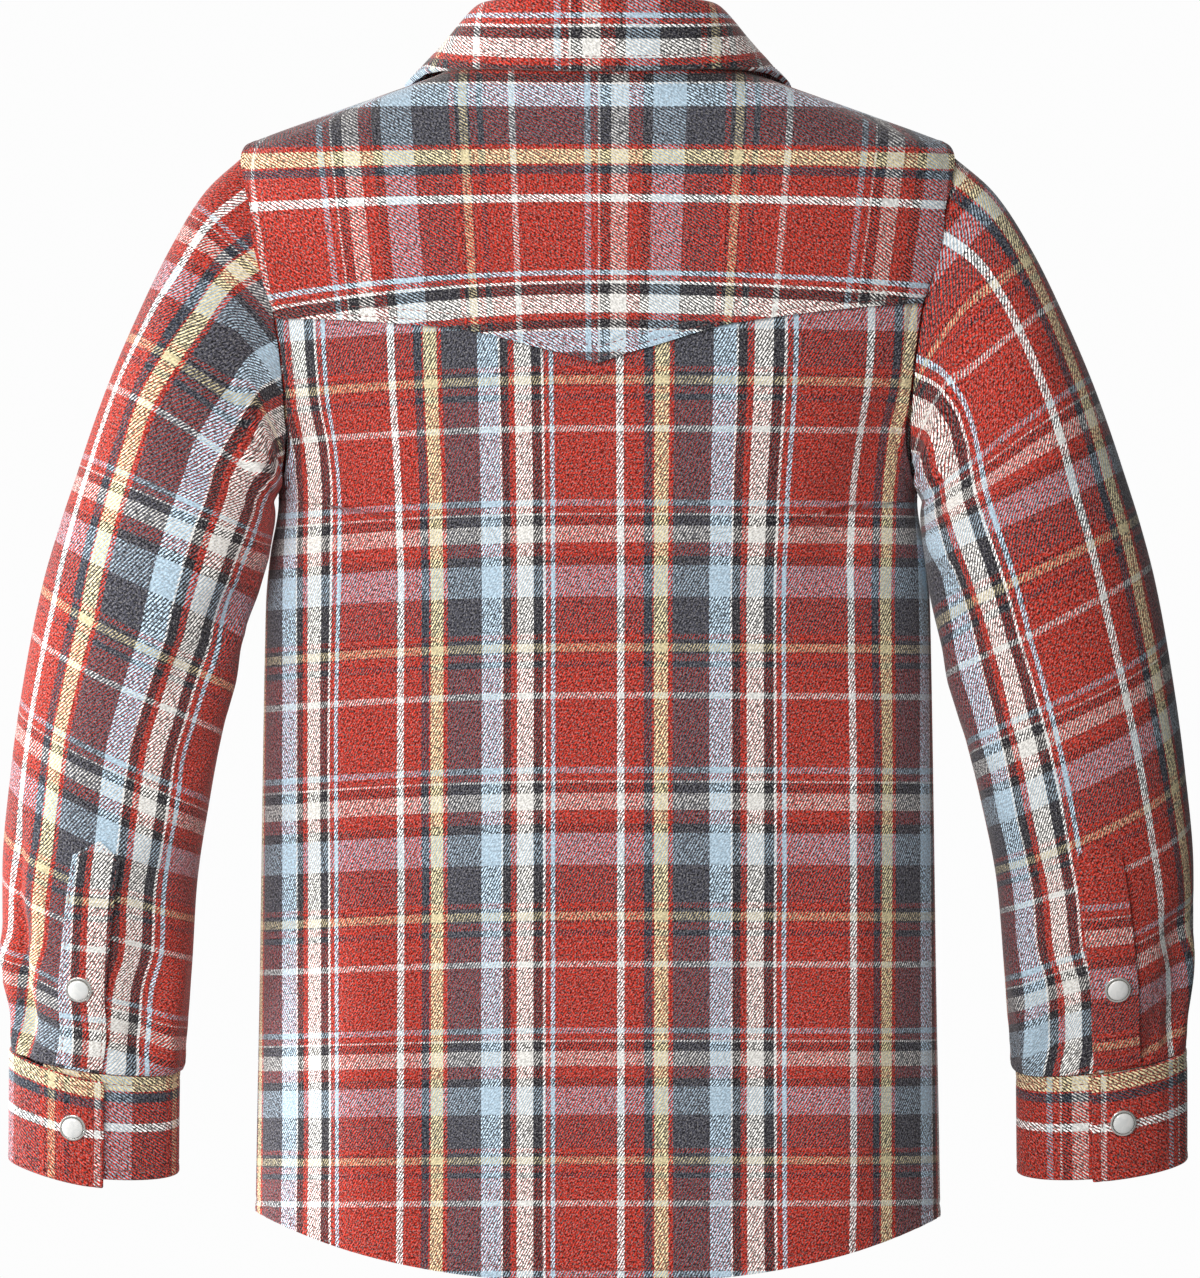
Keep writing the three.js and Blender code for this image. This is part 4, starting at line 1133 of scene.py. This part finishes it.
# %% Sleeve folds
SLEEVE_FOLDS = [
    (20, 150, 75, 128, 13, 5), (40, 108, 120, 96, 14, -3), (150, 160, 230, 118, 13, -3.2),
    (178, 210, 236, 262, 14, -3.4), (205, 172, 290, 132, 14, 2.6), (300, 122, 396, 118, 10, -2.6),
    (350, 150, 400, 138, 9, 3), (330, 38, 400, 32, 9, -3.2), (346, 12, 400, 16, 9, 2.4),
    (340, 235, 400, 238, 10, -2.6), (345, 300, 400, 298, 10, 2.6),
]
FINE_CREASES = {
    -1: [
        (372, 128, 398, 158, 4.5, 1.6), (378, 112, 398, 126, 4, -1.2),
        (292, 34, 397, 37, 3.4, -2.4), (292, 50, 397, 52, 6, 1.1),
        (352, 55, 399, 52, 5, -1.1), (188, 172, 214, 140, 6, 1.3), (232, 168, 262, 128, 6, -1.2),
        (140, 168, 172, 138, 7, 1.1), (60, 40, 120, 60, 12, 0.9), (364, 262, 400, 266, 6, -1.6),
        (352, 208, 400, 205, 6, 1.5), (210, 262, 250, 236, 7, -1.3), (150, 300, 190, 276, 9, 1.1),
    ],
    1: [
        (330, 8, 398, 6, 5, -1.6), (360, 50, 399, 54, 5, -1.4), (372, 132, 398, 146, 4.5, 1.3),
        (352, 110, 399, 108, 5, -1.1), (192, 168, 226, 132, 7, 1.4), (240, 170, 268, 138, 6, -1.1),
        (128, 170, 160, 140, 7, 1.2), (70, 46, 130, 66, 12, 0.8), (360, 268, 400, 262, 6, -1.6),
        (350, 214, 400, 208, 6, 1.4), (214, 258, 252, 232, 7, -1.3), (140, 304, 184, 280, 9, 1.1),
    ],
}
GIRTH = 0.72


def sleeve_surface(side, degrees, along, inside, ring=False):
    bare = sleeve_point(side, degrees, along)
    normal = normals_of(bare, inside, ring)
    ends = ease(along / 30) * ease((408 - along) / 22)
    bulge = fold_height(SLEEVE_FOLDS, along, np.mod(degrees, 360), GIRTH) * ends
    lifted = bare + normal * bulge[..., None]
    return lifted, normals_of(lifted, inside, ring)


# %% [markdown]
# The grain of the cloth drifts as it goes round the arm, so the map of each sleeve has a table that says, at
# each distance along, how far the stripes are shifted and how wide they lie. The cross stripes slope down
# towards the body, more so below the elbow.

# %% Chart of a sleeve
GRAIN_AT = [0, 50, 100, 150, 200, 250, 300, 350, 400]
GRAIN = {
    -1: ([-17.9, -17.7, -14.3, -15.8, -19.9, -19.7, -19.9, -10.9, 7.2],
         [0.594, 0.667, 0.761, 0.829, 0.879, 0.978, 1.009, 0.97, 0.96]),
    1: ([-29.5, -31.8, -35.9, -39.5, -40.3, -38.6, -34.8, -26.6, -14.2],
        [0.582, 0.676, 0.783, 0.859, 0.903, 0.957, 0.971, 0.963, 0.965]),
}
SLANT_AT = [30, 110, 200, 300, 400]
SLANT = {
    -1: (119.1, 1.103, [-0.715, -0.165, 0.233, 0.361, 0.323]),
    1: (78.4, 1.056, [-0.563, -0.085, 0.249, 0.342, 0.359]),
}


def sleeve_chart(side, round_mm, along):
    shift, stretch = GRAIN[side]
    warp = round_mm * np.interp(along, GRAIN_AT, stretch) + np.interp(along, GRAIN_AT, shift)
    start, pace, slant = SLANT[side]
    bend = np.sqrt(round_mm**2 + 400) - 20
    return -side * warp, start - pace * along + np.interp(along, SLANT_AT, slant) * bend


print("stripes drift by", GRAIN[1][0][-1] - GRAIN[1][0][0], "mm round the right sleeve")

# %% Sleeves
ROUND_STEPS = 96


def arm_piece(name, side, points, normal, thickness, ring=False):
    mirror = np.array([side, 1, 1])
    return Piece(f"{name}_{HAND[side]}", points * mirror, normal * mirror, thickness, ring)


def make_sleeve(side):
    u = np.linspace(0, 1, ROUND_STEPS + 1)
    around, far = np.meshgrid(u * 360 - 180, spread(SLEEVE_END) * SLEEVE_END)
    points, normal = sleeve_surface(side, around, far, arm_middle(sleeve_lines, side, far), True)
    piece = arm_piece("sleeve_cloth", side, points, normal, CLOTH, True)
    round_mm = piece.across - piece.across[:, ROUND_STEPS // 2, None]
    to_cuff = SLEEVE_END - far
    fine = fold_height(FINE_CREASES[side], far, np.mod(around, 360), GIRTH)
    fine *= ease(far / 14) * ease((402 - far) / 6)
    gathers = ripple(round_mm, 21 + side, 13) * 0.8 * near(to_cuff, 16) * ease(to_cuff / 3 + 0.2)
    cap = ripple(round_mm, 31 + side, 11) * 0.35 * near(far, 9)
    full = 1.3 * near(to_cuff, 9)
    return piece.raised(fine + gathers + cap + full), round_mm, far


sleeves = {}
for side in (-1, 1):
    piece, round_mm, far = make_sleeve(side)
    sleeves[side] = sew(piece, *sleeve_chart(side, round_mm, far), flannel)

# %% [markdown]
# ## Cuffs and sleeve plackets
# A cuff is one double strip wound a little more than once round the wrist, so its outer end laps over. Above
# it a strip with a pointed top finishes the slit.

# %% Shape of a cuff
CUFF_START, CUFF_STOP = 50, 457  # degrees round the wrist, a little more than one turn
CUFF_ROW = 4.6
DROOP = {-1: 3.2, 1: 0.6}


def make_cuff(side):
    degrees = mix(CUFF_START, CUFF_STOP, spread(208, edge=8, fine=0.95, coarse=2.4))
    degrees, low = np.meshgrid(degrees, mix(GAP, CUFF_END, spread(48.7, edge=8, fine=0.9, coarse=2.2)))
    bare = section(cuff_lines, side, degrees, low)
    inside = arm_middle(cuff_lines, side, low)
    wound = (degrees - CUFF_START) / 360
    points = bare + normals_of(bare, inside) * (0.4 + 2.6 * wound)[..., None]
    points[..., 2] -= DROOP[side] * ease((degrees - CUFF_STOP) / 75 + 1)
    piece = arm_piece("cuff_cloth", side, points, normals_of(points, inside), DOUBLE)
    edges = (piece.first, piece.last, piece.right, piece.left)
    relief = sum(groove(edge, CUFF_ROW, 0.9, 0.35) for edge in edges)
    relief += ripple(piece.across, 41 + side, 15) * 0.4 * ease(piece.last / 10) * ease(piece.first / 10)
    return piece.raised(relief), degrees, low


print("cuff laps by", CUFF_STOP - CUFF_START - 360, "degrees")

# %% [markdown]
# Cloth as long as a cuff holds nearly two repeats, and in the photograph both ends show. So the map starts
# from a stripe seen on each end, and takes up the difference on the hidden side.

# %% Chart and sew the cuffs
CUFF_MARKS = {-1: ((108.7, 49.1), (415.8, 23.9)), 1: ((115.7, 77.5), (449.0, 0.0))}
PAST_MARK = 60


def cuff_chart(side, piece, degrees, low):
    line = piece.across[len(low) // 2]
    (under, under_b), (over, over_b) = CUFF_MARKS[side]
    ends = np.interp([under, 200, 350, over], degrees[0], line)
    over_b += WEFT_REPEAT * side * round((ends[3] - ends[0] + side * (under_b - over_b)) / WEFT_REPEAT)
    places = [ends[0] - PAST_MARK, ends[1], ends[2], ends[3] + PAST_MARK]
    stripes = [
        under_b - PAST_MARK * side,
        under_b + side * (ends[1] - ends[0]),
        over_b - side * (ends[3] - ends[2]),
        over_b + PAST_MARK * side,
    ]
    weft = np.interp(line, places, stripes)
    return (CUFF_END / 2 - low) * 0.9, np.broadcast_to(weft[None, :], low.shape)


cuffs = {}
for side in (-1, 1):
    piece, degrees, low = make_cuff(side)
    for edge in ("first", "last", "right"):
        stitch(f"stitches_cuff_{HAND[side]}", *edge_line(piece, edge, CUFF_ROW), CUFF_ROW, CUFF_ROW)
    cuffs[side] = sew(piece, *cuff_chart(side, piece, degrees, low), flannel)

# %% Sleeve plackets
PLACKET_LENGTH, PLACKET_WIDTH, PLACKET_POINT, PLACKET_ROW = 107, 21, 8, 1.8


def placket_grid(across, up):
    along = 400 - 1.6 - up * (PLACKET_LENGTH - PLACKET_POINT * np.abs(across) - 2)
    centre = mix(78, 89, (400 - along) / PLACKET_LENGTH)
    ring_width = (sleeve_lines["outer_x"](along) - sleeve_lines["inner_x"](along)) / 2
    return centre - np.degrees(across * PLACKET_WIDTH / 2 / ring_width), along


def make_placket(side):
    u = np.unique(np.concatenate([spread(PLACKET_WIDTH, edge=6, fine=0.9), [0.5]]))
    across, up = np.meshgrid(u * 2 - 1, spread(PLACKET_LENGTH - 2, coarse=2.2))
    degrees, along = placket_grid(across, up)
    surface, normal = sleeve_surface(side, degrees, along, arm_middle(sleeve_lines, side, along))
    piece = arm_piece("placket_cloth", side, surface + normal * LAP_LIFT, normal, CLOTH)
    relief = sum(groove(edge, PLACKET_ROW, 0.7, 0.22) for edge in (piece.left, piece.right, piece.last))
    piece = piece.raised(relief + ripple(piece.down, 51 + side, 16) * 0.25)
    return piece, along


plackets = {}
for side in (-1, 1):
    piece, along = make_placket(side)
    seen_right = piece.points[..., 0] - piece.points[..., 0].mean(1, keepdims=True)
    lean = np.interp(along, [292, 325, 400], [2.5, 3.8, 7.6])
    warp = seen_right + (61.6 - lean if side < 0 else -15)
    weft = (342 if side < 0 else 290.5) - along
    for edge in ("left", "right", "last"):
        stitch(f"stitches_placket_{HAND[side]}", *edge_line(piece, edge, PLACKET_ROW), 1, 1)
    plackets[side] = sew(piece, warp, weft, flannel)

# %% [markdown]
# ## The collar
# The stand closes round the neck, and the fall rolls over its top and comes down to two points in front.
# Both are two layers of cloth with an interlining, so they are thicker and hold their shape.

# %% Lines round the neck
FOLD_ACROSS, FOLD_DEPTH = 0.955, 1.015  # the fold line, as shares of the neck seam's half width and depth
SEAM_SHARE = 0.985
fold_line = follow([0, 45, 90, 110, 130, 150, 170, 180], [32.4, 31.8, 29.6, 22, 5, -16, -34, -37])


def collar_line(degrees, height, across, depth):
    size = np.abs(degrees)
    sign = np.where(degrees < 0, -1, 1)
    turn, z = neck_place(sign * np.minimum(size, 180))
    base = body_point(turn, z)
    past_end = np.radians(size - 180) * NECK_HALF
    x = np.where(size > 180, -sign * past_end, base[..., 0])
    return np.stack([x * across, base[..., 1] * depth, height(np.minimum(size, 360 - size))], -1)


print("neck seam to collar fold at the back:", round(float(fold_line(0) - neck_height(0)), 1), "mm")

# %% Collar stand
STAND_END = 180 + math.degrees(BAND_HALF / NECK_HALF)
STAND_LOW, STAND_OVER_LAP, STAND_HIGH = 3.2, 1.8, 1.6
STAND_ROW = 2.2
STAND_STRIPE_X, STAND_STRIPE_Z = -49, 30


def make_stand():
    u = spread(330, edge=7, fine=0.95, coarse=2.6)
    degrees, up = np.meshgrid(mix(-STAND_END, STAND_END, u), spread(26, edge=6, fine=0.9, coarse=2))
    low = collar_line(degrees, neck_height, SEAM_SHARE, SEAM_SHARE)
    low[..., 2] += STAND_LOW + np.where(degrees < 0, STAND_OVER_LAP * ease((-degrees - 140) / 25), 0)
    high = collar_line(degrees, fold_line, FOLD_ACROSS, FOLD_DEPTH)
    high[..., 2] -= STAND_HIGH
    points = mix(low, high, up[..., None])
    inside = np.stack([0 * up, 0 * up, points[..., 2]], -1)
    lap = np.where(u < 0.5, 3 * ease((0.12 - u) / 0.05), 0)
    points = points + normals_of(points, inside) * lap[None, :, None]
    piece = Piece("stand_cloth", points, normals_of(points, inside), DOUBLE)
    return piece.raised(groove(piece.first, STAND_ROW, 0.7, 0.25) + groove(piece.last, STAND_ROW, 0.7, 0.2))


stand = make_stand()
stand_arc = stand.across - stand.across[:, stand.across.shape[1] // 2, None]
stitch("stitches_collar", *edge_line(stand, "first", STAND_ROW), 2, 2)
stand_object = sew(stand, stand.down - STAND_STRIPE_Z, STAND_STRIPE_X - stand_arc, flannel)

# %% [markdown]
# The fall leaves the stand at the fold, rolls over it and lies down on the yoke and the fronts. Each of its
# ribs is one smooth curve from the fold to the outer edge, and the outer edge follows the body just clear of
# the cloth below. In front it stands further out, because the fronts lap there.

# %% Collar fall
FALL_END, FALL_ROW = 172, 6.4
ROLL_ABOVE, ROLL_OUT, ROLL_UP = 2.2, 3.4, 2.4
FALL_STRIPE_X, FALL_STRIPE_Z, FALL_PACE = -53.3, 9.3, 0.92
edge_turn = follow([0, 30, 60, 90, 110, 130, 150, 172], [0, 25, 54, 90, 132, 152, 159, 164])
edge_z = follow([0, 30, 60, 90, 110, 130, 150, 172], [0.2, 0, -0.9, -2.8, -15, -38, -63, -87])
FALL_CLEARANCE = LAP_LIFT + CLOTH / 2 + GAP + DOUBLE / 2 + 1.6


def outer_edge(turn, z, clear):
    sideways = body_point(turn + 2e-3, z) - body_point(turn - 2e-3, z)
    lengthways = body_point(turn, z + 0.2) - body_point(turn, z - 0.2)
    normal = np.cross(sideways, lengthways)
    normal /= np.linalg.norm(normal, axis=-1, keepdims=True)
    return body_point(turn, z) + normal * clear[:, None]


def make_fall():
    degrees = mix(-FALL_END, FALL_END, spread(430, fine=0.95, coarse=2.6))
    size = np.abs(degrees)
    turn = np.where(degrees < 0, -1, 1) * np.radians(edge_turn(size))
    edge = outer_edge(turn, edge_z(size), FALL_CLEARANCE + 3.6 * ease((size - 120) / 40))
    fold = collar_line(degrees, fold_line, FOLD_ACROSS, FOLD_DEPTH)
    fold[..., 2] += ROLL_ABOVE
    out = (edge - fold) * np.array([1, 1, 0])
    out /= np.linalg.norm(out, axis=-1, keepdims=True)
    over_lap = np.where(degrees < 0, 3.2 * ease((size - 138) / 22), 0)
    fold = fold + out * (4.6 * ease((size - 92) / 30) + over_lap)[:, None]
    roll = fold + out * ROLL_OUT + np.array([0, 0, ROLL_UP])
    belly = mix(fold, edge, 0.42) + out * 0.8 + np.array([0, 0, 0.8])
    t = (spread(38, fine=0.9, coarse=1.8) * 0.98 + 0.01)[:, None, None]
    points = (1 - t) ** 3 * fold + 3 * (1 - t) ** 2 * t * roll + 3 * (1 - t) * t**2 * belly + t**3 * edge
    inside = np.stack([0 * points[..., 0], 0 * points[..., 0], points[..., 2]], -1)
    piece = Piece("fall_cloth", points, normals_of(points, inside), DOUBLE)
    relief = sum(groove(away, FALL_ROW, 0.9, 0.35) for away in (piece.last, piece.left, piece.right))
    return piece.raised(relief + ripple(piece.across, 61, 22) * 0.3 * near(piece.last, 14))


def fall_chart(piece):
    x = piece.points[..., 0]
    steps = np.maximum(np.abs(np.diff(x, axis=1)), 0.8 * np.diff(piece.across, axis=1))
    reach = np.concatenate([np.zeros((len(x), 1)), np.cumsum(steps, axis=1)], 1)
    reach = np.stack([line - np.interp(0, row, line) for row, line in zip(x, reach)])
    return -32.9 - (piece.first - FALL_STRIPE_Z) * 0.9, (FALL_STRIPE_X - reach) * FALL_PACE


fall = make_fall()
for edge in ("last", "left", "right"):
    stitch("stitches_collar", *edge_line(fall, edge, FALL_ROW), FALL_ROW, FALL_ROW)
fall_object = sew(fall, *fall_chart(fall), flannel)

# %% [markdown]
# ## What each piece stands for
# Every new piece takes the place of its solid and moves with the one body of the shirt.

def declare(piece, node):
    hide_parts(node)
    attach(piece, "root")


declare(back_object, "back")
for side in (-1, 1):
    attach(allowances[side], "root")
declare(yoke_object, "back_yoke")
declare(stand_object, "collar_stand")
declare(fall_object, "collar_fall")
for side, hand in HAND.items():
    declare(fronts[side], f"front_{hand}")
    declare(bands[side], f"snap_band_{hand}")
    declare(sleeves[side], f"sleeve_{hand}")
    declare(cuffs[side], f"cuff_{hand}")
    declare(plackets[side], f"sleeve_placket_{hand}")
print("seam allowances and pattern pieces declared for", " and ".join(HAND.values()))

# %% [markdown]
# ## The thread
# The rows are sewn in a rose thread of two plies. Its colour turns darker and lighter by turns, as
# painted shade and highlight on the plies, and its dark end is also painted shade of the stitch groove. All
# stitches of one pattern piece are tied into one mesh.

# %% Paint shade and highlight on the thread and tie the rows
thread, thread_surface, thread_nodes = new_finish("rose_thread")
strand = thread_nodes.node("ShaderNodeTexCoord", output=3)
ply_shading = thread_nodes.node("ShaderNodeTexNoise", None, {"Vector": strand, "Scale": 1500.0, "Detail": 1.0})
# Painted shade and highlight: the rose thread turns between a dark and a light tone.
painted_thread_shading = ply_shading.shades(paint(92, 34, 34), paint(186, 104, 96))
connect(thread_surface, {"Base Color": painted_thread_shading, "Roughness": 0.7, "Sheen Weight": 0.2})
for group in thread_rows:
    tie_threads(group, thread)

# %% [markdown]
# ## Pearl snaps
# A western snap has a thin bright rim with a smooth pearl dome set in it. The rim starts as a flat disc: its
# top is inset and pressed down for the seat, and its outer edge is rounded. The dome is half of a flattened
# ball. One snap is modelled at the origin, and every place gets its own copy.

# %% Rim, modelled once
RIM, PEARL, RIM_HEIGHT, SEAT_DEPTH = 0.006, 0.0048, 0.0017, 0.0011
SMOOTH_BELOW = math.radians(50)
bpy.ops.object.select_all(action="DESELECT")
disc_middle = (0, 0, RIM_HEIGHT / 2)
bpy.ops.mesh.primitive_cylinder_add(vertices=48, radius=RIM, depth=RIM_HEIGHT, location=disc_middle)
rim = bpy.context.object
rim.name = "snap_rim"
bpy.ops.object.mode_set(mode="EDIT")
bpy.ops.mesh.select_mode(type="FACE")
bpy.ops.object.mode_set(mode="OBJECT")
for face in rim.data.polygons:
    face.select = face.normal.z > 0.9
bpy.ops.object.mode_set(mode="EDIT")
bpy.ops.mesh.inset(thickness=RIM - PEARL - 0.0002, depth=0.00012)
bpy.ops.mesh.extrude_region_move(TRANSFORM_OT_translate={"value": (0, 0, -SEAT_DEPTH)})
bpy.ops.mesh.inset(thickness=0.0012, depth=0.0)
bpy.ops.object.mode_set(mode="OBJECT")
finish_with(rim, "rounded", "BEVEL", width=0.00028, segments=3, limit_method="ANGLE",
            angle_limit=math.radians(40))
bpy.ops.object.shade_smooth_by_angle(angle=SMOOTH_BELOW)
print("rim is", round(rim.dimensions.x * 1000, 1), "mm across")

# %% Pearl, modelled once
bpy.ops.mesh.primitive_uv_sphere_add(segments=40, ring_count=24, radius=PEARL - 0.00005, location=(0, 0, 0))
pearl = bpy.context.object
pearl.name = "snap_pearl"
bpy.ops.object.mode_set(mode="EDIT")
bpy.ops.mesh.select_all(action="SELECT")
bpy.ops.mesh.bisect(plane_co=(0, 0, 0.0002), plane_no=(0, 0, 1), use_fill=True, clear_inner=True)
bpy.ops.mesh.select_all(action="SELECT")
bpy.ops.transform.resize(value=(1, 1, 0.26), center_override=(0, 0, 0))
bpy.ops.transform.translate(value=(0, 0, 0.00122))
bpy.ops.object.mode_set(mode="OBJECT")
bpy.ops.object.shade_smooth_by_angle(angle=SMOOTH_BELOW)
print("pearl is", round(pearl.dimensions.x * 1000, 1), "mm across")

# %% [markdown]
# The rim is polished metal with faint turning marks. The pearl is milky and glossy, with soft cloudy bands
# that shift between warm and cool, as in real shell.

# %% Metal and pearl
metal, metal_surface, wire = new_finish("snap_metal")
place = wire.node("ShaderNodeTexCoord", output=3)
marks = wire.node("ShaderNodeTexNoise", None, {"Vector": place, "Scale": 900.0, "Detail": 3.0})
connect(metal_surface, {
    "Base Color": marks.shades(paint(226, 224, 218), paint(246, 245, 240)),
    "Roughness": marks.between(0.3, 0.7, 0.16, 0.32),
    "Metallic": 0.85,
})

shell, shell_surface, wire = new_finish("snap_pearl")
place = wire.node("ShaderNodeTexCoord", output=3)
look = {"Vector": place, "Scale": 260.0, "Detail": 2.0, "Distortion": 1.4}
cloud = wire.node("ShaderNodeTexNoise", None, look).between(0.3, 0.7)
connect(shell_surface, {
    "Base Color": cloud.shades(paint(236, 237, 234), paint(250, 249, 245)),
    "Roughness": 0.22,
    "Coat Weight": 0.7,
    "Coat Roughness": 0.08,
})
rim.data.materials.append(metal)
pearl.data.materials.append(shell)
print("finishes of the snap:", metal.name, "and", shell.name)

# %% [markdown]
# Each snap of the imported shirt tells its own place: its axis runs from its ring to its pearl, and its seat is
# the lowest point of the ring along that axis.

# %% Set a snap at every place
def node_points(name):
    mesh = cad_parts[name].data
    flat = np.zeros(len(mesh.vertices) * 3)
    mesh.vertices.foreach_get("co", flat)
    return flat.reshape(-1, 3)


snap_names = sorted(name[:-5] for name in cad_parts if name.endswith("_ring"))
for name in snap_names:
    metal_points = node_points(name + "_ring")
    axis = Vector(node_points(name + "_pearl").mean(0) - metal_points.mean(0)).normalized()
    centre = Vector(metal_points.mean(0))
    seat = centre + axis * (float((metal_points @ np.array(axis)).min()) - centre.dot(axis))
    for model, part, finish in ((rim, "ring", "snap_metal"), (pearl, "pearl", "snap_pearl")):
        copy = put_in_scene(f"{name}_{part}_detail", model.data.copy())
        copy.data.transform(Matrix.Translation(seat) @ axis.to_track_quat("Z", "Y").to_matrix().to_4x4())
        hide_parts(f"{name}_{part}")
        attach(copy, "root")
for model in (rim, pearl):
    bpy.data.objects.remove(model)
print("snaps set:", len(snap_names))

# %% Measure and finish
visual_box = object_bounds()
growth = [(b - a) * 1000 for k in (0, 1) for a, b in zip(packed_box[k], visual_box[k])]
print("grew by", [round(side, 1) for side in growth], "mm")
